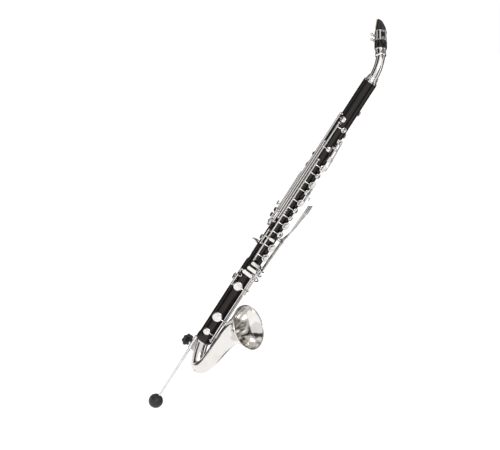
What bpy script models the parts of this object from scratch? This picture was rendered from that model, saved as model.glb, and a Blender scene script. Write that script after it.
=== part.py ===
"""An alto clarinet: wooden body, bent neck, upturned bell, floor peg and open keywork.

Lengths are in metres. A place on the instrument is given as an angle in degrees from the front
towards the player's right, a radius from the bore line, and a depth below the wood's upper end.
"""

import math

import bmesh
import bpy
from mathutils import Matrix, Vector

# Wooden body
wood_length = 0.722
upper_radius = 0.0166
lower_radius = 0.0193
shoulder_start = 0.491
shoulder_end = 0.501
bottom_ring_start = 0.7025
bottom_ring_radius = 0.01975
bore_radius = 0.0089
chimney_rise = 0.0014

# Neck and mouthpiece
neck_lean = 42.5
neck_tube_radius = 0.0102
neck_wall = 0.0009
neck_end_back = 0.0165
neck_end_up = 0.0615
receiver_length = 0.0172
receiver_radius = 0.0121
mouthpiece_start = 0.0177
band_length = 0.017
ligature_length = 0.026
mouthpiece_end = 0.0925
shank_radius = 0.0144
waist_radius = 0.0126

# Bell
rim_radius = 0.0532
bell_wall = 0.0009
rim_bead_radius = 0.0015
tenon_radius = 0.0126

# Floor peg
peg_back = 0.0239
peg_radius = 0.0033
peg_top = 0.712
ball_depth = 0.9166
ball_radius = 0.0175
holder_top = 0.7265
holder_bottom = 0.7600
knob_depth = 0.7500
knob_radius = 0.0155
knob_lobes = 7

# Keywork
hinge_radius = 0.0012
hinge_bore = 0.00150
tube_radius = 0.00235
post_ball = 0.0028
post_half = 0.0032
upper_line = 0.0225
lower_line = 0.0250
cup_height = 0.0042
pad_step = 0.0008
arm_radius = 0.0014
open_angle = 5.5
touch_thickness = 0.0022
strap_eye_depth = 0.395
strap_eye_radius = 0.0266

# Clearances between neighbours
touching_gap = 0.0003
joint_gap = 0.0004

# How finely round shapes are divided
large_sides = 28
bell_sides = 22
cup_sides = 10
small_sides = 8
hinge_sides = 6

silver = ("silver_plate", (0.78, 0.77, 0.75), 0.22, 1.0)
wood = ("dark_wood", (0.025, 0.020, 0.018), 0.28, 0.0)
ebonite = ("ebonite", (0.018, 0.018, 0.019), 0.25, 0.0)
cane = ("cane", (0.74, 0.62, 0.38), 0.60, 0.0)
cork = ("cork", (0.55, 0.40, 0.26), 0.85, 0.0)
steel = ("steel", (0.62, 0.62, 0.62), 0.30, 1.0)
rubber = ("black_rubber", (0.020, 0.020, 0.021), 0.55, 0.0)


def clear_scene():
    for found in list(bpy.data.objects):
        bpy.data.objects.remove(found)


def new_collection(name, helper):
    made = bpy.data.collections.new(name)
    made.hide_render = helper
    bpy.context.scene.collection.children.link(made)
    return made


clear_scene()
clarinet = new_collection("alto_clarinet", False)
workshop = new_collection("shaping_helpers", True)
frame = bpy.data.objects.new("strap_eye_frame", None)
clarinet.objects.link(frame)
frame.location = (0, -strap_eye_radius, strap_eye_depth)


def at(angle, radius, depth):
    """The point at an angle from the front, a radius from the bore line and a depth below the top."""
    turn = math.radians(angle)
    return Vector((-radius * math.sin(turn), -radius * math.cos(turn), -depth))


def facing_out(angle, radius, depth):
    """A placing whose Z points away from the bore line and whose X points down the body."""
    turn = math.radians(angle)
    out = Vector((-math.sin(turn), -math.cos(turn), 0))
    down = Vector((0, 0, -1))
    placing = Matrix((down, out.cross(down), out)).transposed().to_4x4()
    placing.translation = at(angle, radius, depth)
    return placing


def wood_radius(depth):
    if depth < shoulder_start:
        return upper_radius
    if depth < shoulder_end:
        part_way = (depth - shoulder_start) / (shoulder_end - shoulder_start)
        return upper_radius + part_way * (lower_radius - upper_radius)
    return lower_radius if depth < bottom_ring_start else bottom_ring_radius


def finish_of(kind):
    name, colour, roughness, metallic = kind
    made = bpy.data.materials.get(name)
    if made is None:
        made = bpy.data.materials.new(name)
        made.use_nodes = True
        shader = made.node_tree.nodes["Principled BSDF"]
        shader.inputs["Base Color"].default_value = (*colour, 1)
        shader.inputs["Roughness"].default_value = roughness
        shader.inputs["Metallic"].default_value = metallic
        made.diffuse_color = (*colour, 1)
    return made


def helper(data):
    made = bpy.data.objects.new("shape", data)
    workshop.objects.link(made)
    made.display_type = "WIRE"
    return made


def baked(source):
    """The evaluated shape as a plain closed mesh that faces outwards; the source is removed."""
    bpy.context.view_layer.update()
    graph = bpy.context.evaluated_depsgraph_get()
    mesh = bpy.data.meshes.new_from_object(source.evaluated_get(graph))
    mesh.transform(source.matrix_world)
    shape = bmesh.new()
    shape.from_mesh(mesh)
    bmesh.ops.remove_doubles(shape, verts=shape.verts, dist=0.000002)
    bmesh.ops.recalc_face_normals(shape, faces=shape.faces)
    shape.to_mesh(mesh)
    shape.free()
    bpy.data.objects.remove(source)
    return helper(mesh)


def joined(pieces, cutters=()):
    """One body made of overlapping pieces, less the cutters."""
    body = pieces[0]
    for operation, others in (("UNION", pieces[1:]), ("DIFFERENCE", cutters)):
        for other in others:
            step = body.modifiers.new(operation, "BOOLEAN")
            step.operation = operation
            step.solver = "EXACT"
            step.object = other
    result = baked(body)
    for other in [*pieces[1:], *cutters]:
        bpy.data.objects.remove(other)
    return result


def common(first, second):
    """The volume that two shapes share."""
    step = first.modifiers.new("common", "BOOLEAN")
    step.operation = "INTERSECT"
    step.solver = "EXACT"
    step.object = second
    result = baked(first)
    bpy.data.objects.remove(second)
    return result


def subpart(name, body, kind, pivot=None, opened=0.0):
    """Names a body, gives it its finish and puts its origin on its pivot, opened by an angle there."""
    pivot = pivot or Vector((0, 0, 0))
    body.data.transform(Matrix.Translation(-pivot))
    body.data.shade_smooth()
    body.data.set_sharp_from_angle(angle=math.radians(38))
    body.data.materials.clear()
    body.data.materials.append(finish_of(kind))
    body.name = name
    body.data.name = name
    body.display_type = "TEXTURED"
    workshop.objects.unlink(body)
    clarinet.objects.link(body)
    body.parent = frame
    body.location = pivot
    body.rotation_euler = (0, 0, math.radians(opened))
    return body


def turned(profile, placing=None, sides=cup_sides, ring=False):
    """A profile of (radius, height) points, outer side top to bottom, turned about the placing's Z."""
    mesh = bpy.data.meshes.new("profile")
    points = [(radius, 0, height) for radius, height in profile]
    edges = [(index, index + 1) for index in range(len(points) - 1)]
    if ring:
        edges.append((len(points) - 1, 0))
    mesh.from_pydata(points, edges, [])
    made = helper(mesh)
    screw = made.modifiers.new("turn", "SCREW")
    screw.steps = sides
    screw.render_steps = sides
    screw.use_merge_vertices = True
    screw.merge_threshold = 0.00001
    made.matrix_world = placing or Matrix.Identity(4)
    return baked(made)


def cylinder(start, end, radius, sides=small_sides, end_radius=None):
    """A round bar between two points."""
    start = Vector(start)
    end = Vector(end)
    length = (end - start).length
    mesh = bpy.data.meshes.new("bar")
    shape = bmesh.new()
    bmesh.ops.create_cone(
        shape,
        cap_ends=True,
        segments=sides,
        radius1=radius,
        radius2=radius if end_radius is None else end_radius,
        depth=length,
    )
    turn = (end - start).to_track_quat("Z", "Y").to_matrix().to_4x4()
    turn.translation = (start + end) / 2
    shape.transform(turn)
    shape.to_mesh(mesh)
    shape.free()
    return helper(mesh)


def box(size, placing):
    mesh = bpy.data.meshes.new("box")
    shape = bmesh.new()
    bmesh.ops.create_cube(shape, size=1)
    bmesh.ops.scale(shape, vec=Vector(size), verts=shape.verts)
    shape.transform(placing)
    shape.to_mesh(mesh)
    shape.free()
    return helper(mesh)


def ball(centre, radius, sides=24, rings=14):
    mesh = bpy.data.meshes.new("ball")
    shape = bmesh.new()
    bmesh.ops.create_uvsphere(shape, u_segments=sides, v_segments=rings, radius=radius)
    shape.transform(Matrix.Translation(centre))
    shape.to_mesh(mesh)
    shape.free()
    return helper(mesh)


def wire(points, radius, roundness=1, widths=None, caps=True):
    """A round rod that follows points, thicker or thinner where widths say so."""
    curve = bpy.data.curves.new("wire", "CURVE")
    curve.dimensions = "3D"
    curve.bevel_depth = radius
    curve.bevel_resolution = roundness
    curve.use_fill_caps = caps
    line = curve.splines.new("POLY")
    line.points.add(len(points) - 1)
    for index, point in enumerate(points):
        line.points[index].co = (*point, 1)
        line.points[index].radius = widths[index] if widths else 1
    return helper(curve)


def rod(points, radius, roundness=1, widths=None):
    return baked(wire(points, radius, roundness, widths))


def rounded_outline(length, width, corner, steps=2):
    """The corners of a plate, each an arc."""
    points = []
    for quarter in range(4):
        across = 1 if quarter in (0, 3) else -1
        up = 1 if quarter in (0, 1) else -1
        centre = (across * (length / 2 - corner), up * (width / 2 - corner))
        for step in range(steps + 1):
            turn = math.radians(90 * quarter + 90 * step / steps)
            points.append(
                (centre[0] + corner * math.cos(turn), centre[1] + corner * math.sin(turn))
            )
    return points


def plate(outline, thickness, placing):
    """A flat piece cut to an outline, centred on the placing's own XY plane."""
    curve = bpy.data.curves.new("plate", "CURVE")
    curve.dimensions = "2D"
    curve.fill_mode = "BOTH"
    curve.extrude = thickness / 2
    line = curve.splines.new("POLY")
    line.points.add(len(outline) - 1)
    for index, point in enumerate(outline):
        line.points[index].co = (point[0], point[1], 0, 1)
    line.use_cyclic_u = True
    made = helper(curve)
    made.matrix_world = placing
    return baked(made)


def sweep(start, end, steps=4, rise=0.0):
    """Points from one place to another round the body, raised by rise in the middle."""
    points = []
    for step in range(steps + 1):
        part_way = step / steps
        angle = start[0] + part_way * (end[0] - start[0])
        radius = start[1] + part_way * (end[1] - start[1])
        radius += rise * math.sin(math.pi * part_way)
        depth = start[2] + part_way * (end[2] - start[2])
        points.append(at(angle, radius, depth))
    return points


# Wooden body with its chimneys and tone holes

tone_holes = []


def seat_radius(depth):
    return wood_radius(depth) + chimney_rise + touching_gap


def wooden_body():
    socket = 0.0245
    profile = [
        (0, 0),
        (upper_radius - 0.0008, 0),
        (upper_radius, -0.0008),
        (upper_radius, -shoulder_start),
        (upper_radius + 0.0008, -shoulder_start - 0.003),
        (lower_radius - 0.0005, -shoulder_end + 0.003),
        (lower_radius, -shoulder_end),
        (lower_radius, -bottom_ring_start),
        (bottom_ring_radius, -bottom_ring_start - 0.002),
        (bottom_ring_radius, -wood_length + 0.004),
        (bottom_ring_radius - 0.0015, -wood_length),
        (0, -wood_length),
    ]
    pieces = [turned(profile, sides=large_sides)]
    cutters = [
        cylinder((0, 0, 0.001), (0, 0, -wood_length - 0.001), bore_radius, 14),
        cylinder((0, 0, 0.001), (0, 0, -socket), 0.0119, 20),
        cylinder((0, 0, -wood_length + 0.0235), (0, 0, -wood_length - 0.001), 0.0139, 20),
    ]
    for angle, depth, cup_radius in tone_holes:
        outer = 0.70 * cup_radius
        top = wood_radius(depth) + chimney_rise
        pieces.append(
            cylinder(at(angle, bore_radius + 0.003, depth), at(angle, top, depth), outer, 8)
        )
        cutters.append(
            cylinder(at(angle, 0, depth), at(angle, top + 0.001, depth), outer * 0.68, 6)
        )
    subpart("wooden_body", joined(pieces, cutters), wood)


# Hinge lines: a steel rod held between posts, with key tubes turning on it


def post(angle, radius, depth):
    foot = wood_radius(depth + 0.003) + touching_gap
    height = radius - foot
    profile = [
        (0, height + post_ball),
        (post_ball, height + 0.0012),
        (post_ball, height - 0.0012),
        (0.0013, height - post_ball),
        (0.0013, 0.0008),
        (0.0028, 0),
        (0, 0),
    ]
    return turned(profile, facing_out(angle, foot, depth), small_sides)


def hinge_line(name, angle, radius, posts):
    ends = (at(angle, radius, posts[0]), at(angle, radius, posts[-1]))
    pieces = [cylinder(*ends, hinge_radius, hinge_sides)]
    pieces += [post(angle, radius, depth) for depth in posts]
    subpart(name, joined(pieces), steel)


def spans(posts, cuts=()):
    """The stretches of tube between posts and cuts, each a little short of its neighbours."""
    stops = sorted([(depth, post_half) for depth in posts] + [(c, joint_gap / 2) for c in cuts])
    pairs = zip(stops, stops[1:])
    return [(first[0] + first[1], last[0] - last[1]) for first, last in pairs]


# Key cups


def cup(angle, depth, radius, dished=False, hole=0.0):
    """A cup with its pad, closed on its chimney. A ring has a hole through cup and pad."""
    tone_holes.append((angle, depth, radius))
    rim_top = 0.0034 if dished else 0.0030
    crown = 0.0026 if dished else cup_height
    shoulder = [
        (0.90 * radius, rim_top),
        (radius, 0.0020),
        (radius, pad_step),
        (0.88 * radius, pad_step),
        (0.88 * radius, 0),
    ]
    placing = facing_out(angle, seat_radius(depth), depth)
    if hole:
        return turned([(hole, rim_top), *shoulder, (hole, 0)], placing, ring=True)
    return turned([(0, crown), *shoulder, (0, 0)], placing)


def cup_arm(line_angle, line_radius, angle, depth, over=None):
    """The arm from a key's tube to the top of a cup, at first over its neighbours' tubes if need be."""
    top = seat_radius(depth) + cup_height - arm_radius
    start = (line_angle, line_radius, depth)
    side = 1 if angle > line_angle else -1
    near = (angle - side * 4, top, depth)
    if over is None:
        return rod(sweep(start, near, 3), arm_radius)
    crossed, clear_radius = over
    step = (line_angle + side * 4, clear_radius, depth)
    route = [at(*start), at(*step), at(crossed, clear_radius, depth), at(*near)]
    return rod(route, arm_radius)


def touch(angle, radius, depth, across, along, tilt=0.0):
    """A rounded finger plate that faces outwards."""
    placing = facing_out(angle, radius, depth) @ Matrix.Rotation(math.radians(tilt), 4, "Z")
    outline = rounded_outline(along, across, min(across, along) * 0.42)
    return plate(outline, touch_thickness, placing)


def key(name, line, span, pieces, opened=0.0):
    """A key: its tube and the pieces joined to it, bored for the hinge rod."""
    angle, radius = line
    top, bottom = span
    tube = cylinder(at(angle, radius, top), at(angle, radius, bottom), tube_radius)
    ends = (at(angle, radius, top - 0.002), at(angle, radius, bottom + 0.002))
    bore = cylinder(*ends, hinge_bore, hinge_sides)
    body = joined([tube, *pieces], [bore])
    subpart(name, body, silver, at(angle, radius, (top + bottom) / 2), opened)


# The two stacks of finger keys on the player's right

stack_line = (56, upper_line)
plateau_angle = -3


def stack_key(name, span, cups, opened=-open_angle):
    pieces = []
    for depth, radius, dished, hole in cups:
        pieces.append(cup(plateau_angle, depth, radius, dished, hole))
        if hole:
            edge = plateau_angle + math.degrees(radius / upper_line) * 0.9
            reach = (edge, seat_radius(depth) + 0.0022, depth)
            pieces.append(rod(sweep((*stack_line, depth), reach, 3), arm_radius))
        else:
            pieces.append(cup_arm(*stack_line, plateau_angle, depth))
    key(name, stack_line, span, pieces, opened)


def left_stack():
    posts = (0.2090, 0.3485)
    hinge_line("left_stack_rod", *stack_line, posts)
    first, second, third = spans(posts, (0.2555, 0.3060))
    stack_key("left_first_key", first, [(0.222, 0.0092, True, 0), (0.243, 0.0068, False, 0)])
    stack_key("left_second_key", second, [(0.268, 0.0095, True, 0), (0.2885, 0.0075, False, 0)])
    stack_key("left_third_key", third, [(0.317, 0.0095, True, 0), (0.339, 0.0068, False, 0)])


def right_stack():
    posts = (0.3545, 0.4855)
    hinge_line("right_stack_rod", *stack_line, posts)
    vent, first, second, third = spans(posts, (0.3695, 0.3975, 0.4290))
    stack_key("right_vent_key", vent, [(0.3605, 0.0060, False, 0)])
    stack_key("right_first_key", first, [(0.381, 0.0095, True, 0)])
    stack_key("right_second_key", second, [(0.4055, 0.0083, True, 0.0030)])
    stack_key("right_third_key", third, [(0.4425, 0.0095, True, 0), (0.4705, 0.0095, True, 0)])


# Side keys for the right hand's first finger


def side_key(name, line_angle, posts, hole, touch_place, over=None):
    """A long key: a cup near its upper end and a finger plate at its lower end."""
    line = (line_angle, upper_line)
    hinge_line(name + "_rod", *line, posts)
    span = spans(posts)[0]
    angle, depth, radius = hole
    touch_angle, touch_radius, touch_depth = touch_place
    outward = 3 if touch_angle > line_angle else -3
    elbow = (line_angle + outward, touch_radius, touch_depth)
    arm = [at(*line, touch_depth), at(*elbow), at(*touch_place)]
    pieces = [
        cup(angle, depth, radius),
        cup_arm(*line, angle, depth, over),
        rod(arm, arm_radius),
        touch(touch_angle, touch_radius, touch_depth, 0.0125, 0.0112),
    ]
    key(name, line, span, pieces)


def side_keys():
    high = 0.0292
    side_key("side_first_key", 101, (0.0935, 0.3560), (64, 0.102, 0.0070), (123, high, 0.3460))
    side_key("side_second_key", 71, (0.1130, 0.3710), (20, 0.122, 0.0066), (104, high, 0.3610))
    side_key("side_third_key", 86, (0.1668, 0.3860), (36, 0.177, 0.0062), (110, high, 0.3760), (66, 0.0272))
    side_key("side_fourth_key", 116, (0.2583, 0.4010), (150, 0.268, 0.0068), (95, 0.0275, 0.3912))


def sliver_key():
    line = (78, upper_line)
    posts = (0.4100, 0.4440)
    hinge_line("sliver_key_rod", *line, posts)
    arm = [at(*line, 0.4235), at(74, 0.0282, 0.4235), at(46, 0.0290, 0.4235)]
    pieces = [
        cup(108, 0.434, 0.0066),
        cup_arm(*line, 108, 0.434),
        rod(arm, arm_radius),
        touch(32, 0.0285, 0.4235, 0.0150, 0.0070),
    ]
    key("sliver_key", line, spans(posts)[0], pieces)


# Register and thumb keys on the back


def register_keys():
    line = (-112, upper_line)
    posts = (0.0648, 0.2185)
    hinge_line("register_rod", *line, posts)
    upper, lower = spans(posts, (0.1290,))
    cup_angle = -74
    upper_pieces = [cup(cup_angle, 0.075, 0.0062), cup_arm(*line, cup_angle, 0.075)]
    key("upper_register_key", line, upper, upper_pieces)
    reach = sweep((*line, 0.2080), (-168, 0.0262, 0.2080), 5, 0.0010)
    pieces = [
        cup(cup_angle, 0.1355, 0.0062),
        cup_arm(*line, cup_angle, 0.1355),
        rod(reach, 0.0017),
        touch(-176, 0.0262, 0.2080, 0.0150, 0.0100),
    ]
    key("register_key", line, lower, pieces)


def thumb_key():
    line = (-122, upper_line)
    posts = (0.2240, 0.2660)
    hinge_line("thumb_key_rod", *line, posts)
    pieces = [
        cup(-180, 0.2365, 0.0088, True),
        cup_arm(*line, -180, 0.2365),
        cup(-172, 0.2540, 0.0058),
        cup_arm(*line, -172, 0.2540),
    ]
    key("thumb_key", line, spans(posts)[0], pieces, -open_angle)


def c_sharp_key():
    line = (-64, upper_line)
    posts = (0.2810, 0.3190)
    hinge_line("c_sharp_key_rod", *line, posts)
    arm = [at(*line, 0.3010), at(-60, 0.0278, 0.3010), at(-48, 0.0283, 0.3010)]
    pieces = [
        cup(-97, 0.2915, 0.0066),
        cup_arm(*line, -97, 0.2915),
        rod(arm, arm_radius),
        touch(-42, 0.0283, 0.3010, 0.0120, 0.0085),
    ]
    key("c_sharp_key", line, spans(posts)[0], pieces)


# Throat keys that rock on cross pins at the front


def rocking_key(name, angle, hole_depth, cup_radius, pivot_depth, touch_depth, touch_size):
    """A lever across a pin, with its cup above the pin and its touch below."""
    pivot_radius = 0.0218
    centre = at(angle, pivot_radius, pivot_depth)
    across = facing_out(angle, pivot_radius, pivot_depth).to_3x3() @ Vector((0, 1, 0))
    hub = 0.0026
    reach = hub + joint_gap + 0.0024
    pieces = [cylinder(centre - across * reach, centre + across * reach, 0.0010)]
    foot = wood_radius(pivot_depth) + touching_gap
    for side in (-1, 1):
        stand = centre + across * side * (reach - 0.0010)
        low = stand - (centre - at(angle, foot - 0.0001, pivot_depth))
        pieces.append(cylinder(low, stand + (centre - low).normalized() * 0.0004, 0.0011))
        pieces.append(ball(stand, 0.0019, 8, 5))
    saddle = facing_out(angle, foot + 0.0006, pivot_depth)
    pieces.append(plate(rounded_outline(0.0060, 2 * reach + 0.0016, 0.002), 0.0012, saddle))
    subpart(name + "_pin", joined(pieces), steel)
    seat_top = seat_radius(hole_depth) + cup_height - 0.0012
    bar = [
        at(angle, seat_top, hole_depth),
        at(angle, pivot_radius + 0.0002, pivot_depth - 0.004),
        at(angle, pivot_radius + 0.0010, pivot_depth + 0.004),
        at(angle, 0.0246, touch_depth),
    ]
    lever = [
        cylinder(centre - across * hub, centre + across * hub, 0.0023),
        rod(bar, 0.0015),
        cup(angle, hole_depth, cup_radius),
        touch(angle, 0.0250, touch_depth, *touch_size),
    ]
    bore = cylinder(centre - across * 0.004, centre + across * 0.004, 0.0012)
    subpart(name, joined(lever, [bore]), silver, centre)


def throat_keys():
    rocking_key("a_key", 3, 0.150, 0.0057, 0.1690, 0.1960, (0.0110, 0.0150))
    rocking_key("g_sharp_key", -42, 0.153, 0.0057, 0.1740, 0.2120, (0.0085, 0.0300))


# Right little finger keys: long tubes down the front, cups on the player's right

little_lines = {"f": -16, "e": -3.5, "e_flat": 9}


def little_key(name, posts, hole, touch_place, tail, over):
    line = (little_lines[name], lower_line)
    hinge_line(name + "_key_rod", *line, posts)
    angle, depth, radius = hole
    touch_angle, touch_depth = touch_place
    tail_angle, tail_radius, tail_depth = tail
    plate_radius = 0.0305
    arm_depth = spans(posts)[0][0] + 0.0018
    reach = sweep((*line, arm_depth), (touch_angle - 6, plate_radius - 0.0004, touch_depth), 4, 0.0016)
    back = [at(*line, tail_depth), at(line[0] - 6, 0.0302, tail_depth)]
    back += sweep((line[0] - 12, 0.0306, tail_depth), (tail_angle, tail_radius, tail_depth), 3)
    pieces = [
        cup(angle, depth, radius),
        cup_arm(*line, angle, depth, over),
        rod(reach, 0.0017),
        rod(back, arm_radius),
        touch(touch_angle, plate_radius, touch_depth, 0.0270, 0.0088, -6),
    ]
    key(name + "_key", line, spans(posts)[0], pieces, open_angle)


def little_keys():
    little_key("f", (0.4953, 0.5700), (52, 0.560, 0.0108), (34, 0.4935), (-42, 0.0334, 0.5045), (16, 0.0298))
    little_key("e", (0.5065, 0.6600), (55, 0.649, 0.0117), (38, 0.5075), (-57, 0.0344, 0.5170), (16, 0.0298))
    little_key("e_flat", (0.5195, 0.7070), (60, 0.692, 0.0085), (46, 0.5210), (-72, 0.0356, 0.5300), None)


def a_flat_key():
    line = (88, lower_line)
    posts = (0.5230, 0.5640)
    hinge_line("a_flat_key_rod", *line, posts)
    arm = [at(*line, 0.5330), at(85, 0.0296, 0.5330), at(78, 0.0298, 0.5330)]
    pieces = [
        cup(122, 0.5480, 0.0085),
        cup_arm(*line, 122, 0.5480),
        rod(arm, arm_radius),
        touch(72, 0.0298, 0.5330, 0.0130, 0.0085),
    ]
    key("a_flat_key", line, spans(posts)[0], pieces)


# Left little finger levers on one cross rod

lever_angle = -56
lever_radius = 0.0290
lever_depth = 0.4210
lever_pitch = 0.0080


def left_levers():
    placing = facing_out(lever_angle, lever_radius, lever_depth)
    half_rod = 0.0150
    ends = [placing @ Vector((0, side * half_rod, 0)) for side in (-1, 1)]
    pieces = [cylinder(ends[0], ends[1], hinge_radius)]
    for end in ends:
        outward = Vector((end.x, end.y, 0))
        angle = math.degrees(math.atan2(-end.x, -end.y))
        pieces.append(post(angle, outward.length, lever_depth))
    subpart("left_lever_rod", joined(pieces), steel)
    feet = (0.0870, 0.0995, 0.1125)
    heights = (0.0050, 0.0110, 0.0165)
    names = ("left_f_lever", "left_e_lever", "left_e_flat_lever")
    for index, name in enumerate(names):
        aside = (index - 1) * lever_pitch
        hub_half = lever_pitch / 2 - joint_gap / 2
        low = placing @ Vector((0, aside - hub_half, 0))
        high = placing @ Vector((0, aside + hub_half, 0))
        spread = aside * 1.30
        height = heights[index]
        bar = [
            (feet[index], aside, -0.0025),
            (0.0500, aside, -0.0010),
            (0.0060, aside, 0.0006),
            (-0.0060, aside, 0.0010),
            (-0.0300, aside, 0.4 * height + 0.002),
            (-0.0860, spread, height),
        ]
        tip = placing @ Matrix.Translation((-0.0940, spread, height + 0.0008))
        pieces = [
            cylinder(low, high, 0.0026),
            rod([placing @ Vector(point) for point in bar], 0.0017),
            plate(rounded_outline(0.0260, 0.0082, 0.0038), touch_thickness, tip),
        ]
        bore = cylinder(low - (high - low), high + (high - low), hinge_bore)
        subpart(name, joined(pieces, [bore]), silver, placing.translation.copy())


# Neck, mouthpiece, reed and ligature

lean = math.radians(neck_lean)
along_mouthpiece = Vector((0, math.sin(lean), math.cos(lean)))
reed_side = Vector((0, math.cos(lean), -math.sin(lean)))
neck_end = Vector((0, neck_end_back, neck_end_up))
mouth_frame = Matrix((Vector((-1, 0, 0)), -reed_side, along_mouthpiece)).transposed().to_4x4()
mouth_frame.translation = neck_end


def neck():
    """Bent tube with a socket for the mouthpiece and a tenon for the wood."""
    path = [
        (0, -0.0240, 0.0104),
        (0, 0.0145, 0.0104),
        (0.0003, 0.0190, neck_tube_radius),
        (0.0013, 0.0255, neck_tube_radius),
        (0.0032, 0.0335, neck_tube_radius),
        (0.0062, 0.0425, neck_tube_radius),
        (0.0104, 0.0515, neck_tube_radius),
        (neck_end_back - 0.0012, neck_end_up - 0.0014, neck_tube_radius),
    ]
    points = [Vector((0, back, up)) for back, up, _ in path]
    points.append(neck_end + along_mouthpiece * 0.004)
    outer = [radius for _, _, radius in path] + [neck_tube_radius]
    inner = [radius - neck_wall for radius in outer]
    bore_points = list(points)
    bore_points[0] = points[0] - Vector((0, 0, 0.002))
    bore_points[-1] = points[-1] + along_mouthpiece * 0.002
    inside = receiver_radius - neck_wall
    socket = [
        (0, -0.0010),
        (inside + 0.0002, 0.0006),
        (inside, receiver_length + 0.002),
        (0, receiver_length + 0.002),
    ]
    receiver = [
        (0, receiver_length),
        (receiver_radius + 0.0010, receiver_length),
        (receiver_radius + 0.0012, receiver_length - 0.0016),
        (receiver_radius, receiver_length - 0.0024),
        (receiver_radius, 0.0030),
        (receiver_radius + 0.0009, 0.0016),
        (receiver_radius + 0.0006, 0.0002),
        (neck_tube_radius - 0.0003, -0.0016),
        (0, -0.0016),
    ]
    collar = [
        (0, 0.0158),
        (0.0112, 0.0158),
        (0.0126, 0.0148),
        (0.0120, 0.0125),
        (0.0134, 0.0105),
        (0.0128, 0.0080),
        (0.0139, 0.0060),
        (0.0139, 0.0032),
        (0, 0.0032),
    ]
    body = joined(
        [
            rod(points, 1, 6, outer),
            turned(receiver, mouth_frame, 18),
            turned(collar, sides=20),
        ],
        [
            rod(bore_points, 1, 6, inner),
            turned(socket[::-1], mouth_frame @ Matrix.Translation((0, 0, 0.0045)), 18),
        ],
    )
    subpart("neck", body, silver)
    ring = [(0.0165, 0.0028), (0.0165, 0.0003), (0.0109, 0.0003), (0.0109, 0.0028)]
    subpart("top_ferrule", turned(ring, sides=large_sides, ring=True), silver)
    sleeve = [(0.0117, -0.0030), (0.0117, -0.0220), (0.0107, -0.0220), (0.0107, -0.0030)]
    subpart("neck_cork", turned(sleeve, sides=20, ring=True), cork)


def table_cutter(gap):
    """The space on the reed's side of the mouthpiece's flat table."""
    tilt = Matrix.Rotation(math.radians(-6.0), 4, "X")
    depth = 0.030
    height = -(0.0090 + gap + depth / 2)
    return mouth_frame @ Matrix.Translation((0, height, 0.058)) @ tilt, depth


def mouthpiece():
    start = mouthpiece_start
    band_end = start + band_length
    profile = [
        (0, mouthpiece_end),
        (0.0064, mouthpiece_end),
        (0.0076, mouthpiece_end - 0.003),
        (waist_radius, band_end + ligature_length),
        (waist_radius, band_end + 0.0006),
        (shank_radius - 0.0004, band_end),
        (shank_radius, band_end - 0.002),
        (shank_radius, start + 0.002),
        (shank_radius - 0.0006, start),
        (0.0096, start),
        (0.0096, 0.0062),
        (0, 0.0062),
    ]
    placing, depth = table_cutter(0)
    table = box((0.040, depth, 0.060), placing @ Matrix.Translation((0, 0, 0.0065)))
    slope = Matrix.Rotation(math.radians(27), 4, "X")
    top_cut = mouth_frame @ Matrix.Translation((0, 0.0185, 0.0842)) @ slope
    bore_top = mouthpiece_end - 0.022
    window = mouth_frame @ Matrix.Translation((0, -0.0085, mouthpiece_end - 0.0200))
    body = joined(
        [turned(profile, mouth_frame, 28)],
        [
            table,
            box((0.040, 0.030, 0.075), top_cut),
            cylinder(mouth_frame @ Vector((0, 0, 0.005)), mouth_frame @ Vector((0, 0, bore_top)), 0.0066, 14),
            box((0.0095, 0.0140, 0.0300), window),
        ],
    )
    subpart("mouthpiece", body, ebonite)
    sleeve = [(0.0109, 0.0165), (0.0109, 0.0070), (0.0099, 0.0070), (0.0099, 0.0165)]
    subpart("mouthpiece_cork", turned(sleeve, mouth_frame, 20, ring=True), cork)


def reed():
    """The cane blade, rounded at its back, flat on the table and thin at the tip."""
    placing, depth = table_cutter(touching_gap)
    heel = mouthpiece_start + band_length + 0.0010
    stock = cylinder(
        mouth_frame @ Vector((0, 0, heel)),
        mouth_frame @ Vector((0, 0, mouthpiece_end - 0.0004)),
        waist_radius - 0.0001,
        28,
    )
    half = box((0.0145, depth, 0.060), placing @ Matrix.Translation((0, 0, 0.0065)))
    blade = common(stock, half)
    vamp = Matrix.Rotation(math.radians(-11.5), 4, "X")
    away = mouth_frame @ Matrix.Translation((0, -0.0242, mouthpiece_end - 0.013)) @ vamp
    subpart("reed", joined([blade], [box((0.03, 0.030, 0.060), away)]), cane)


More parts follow.
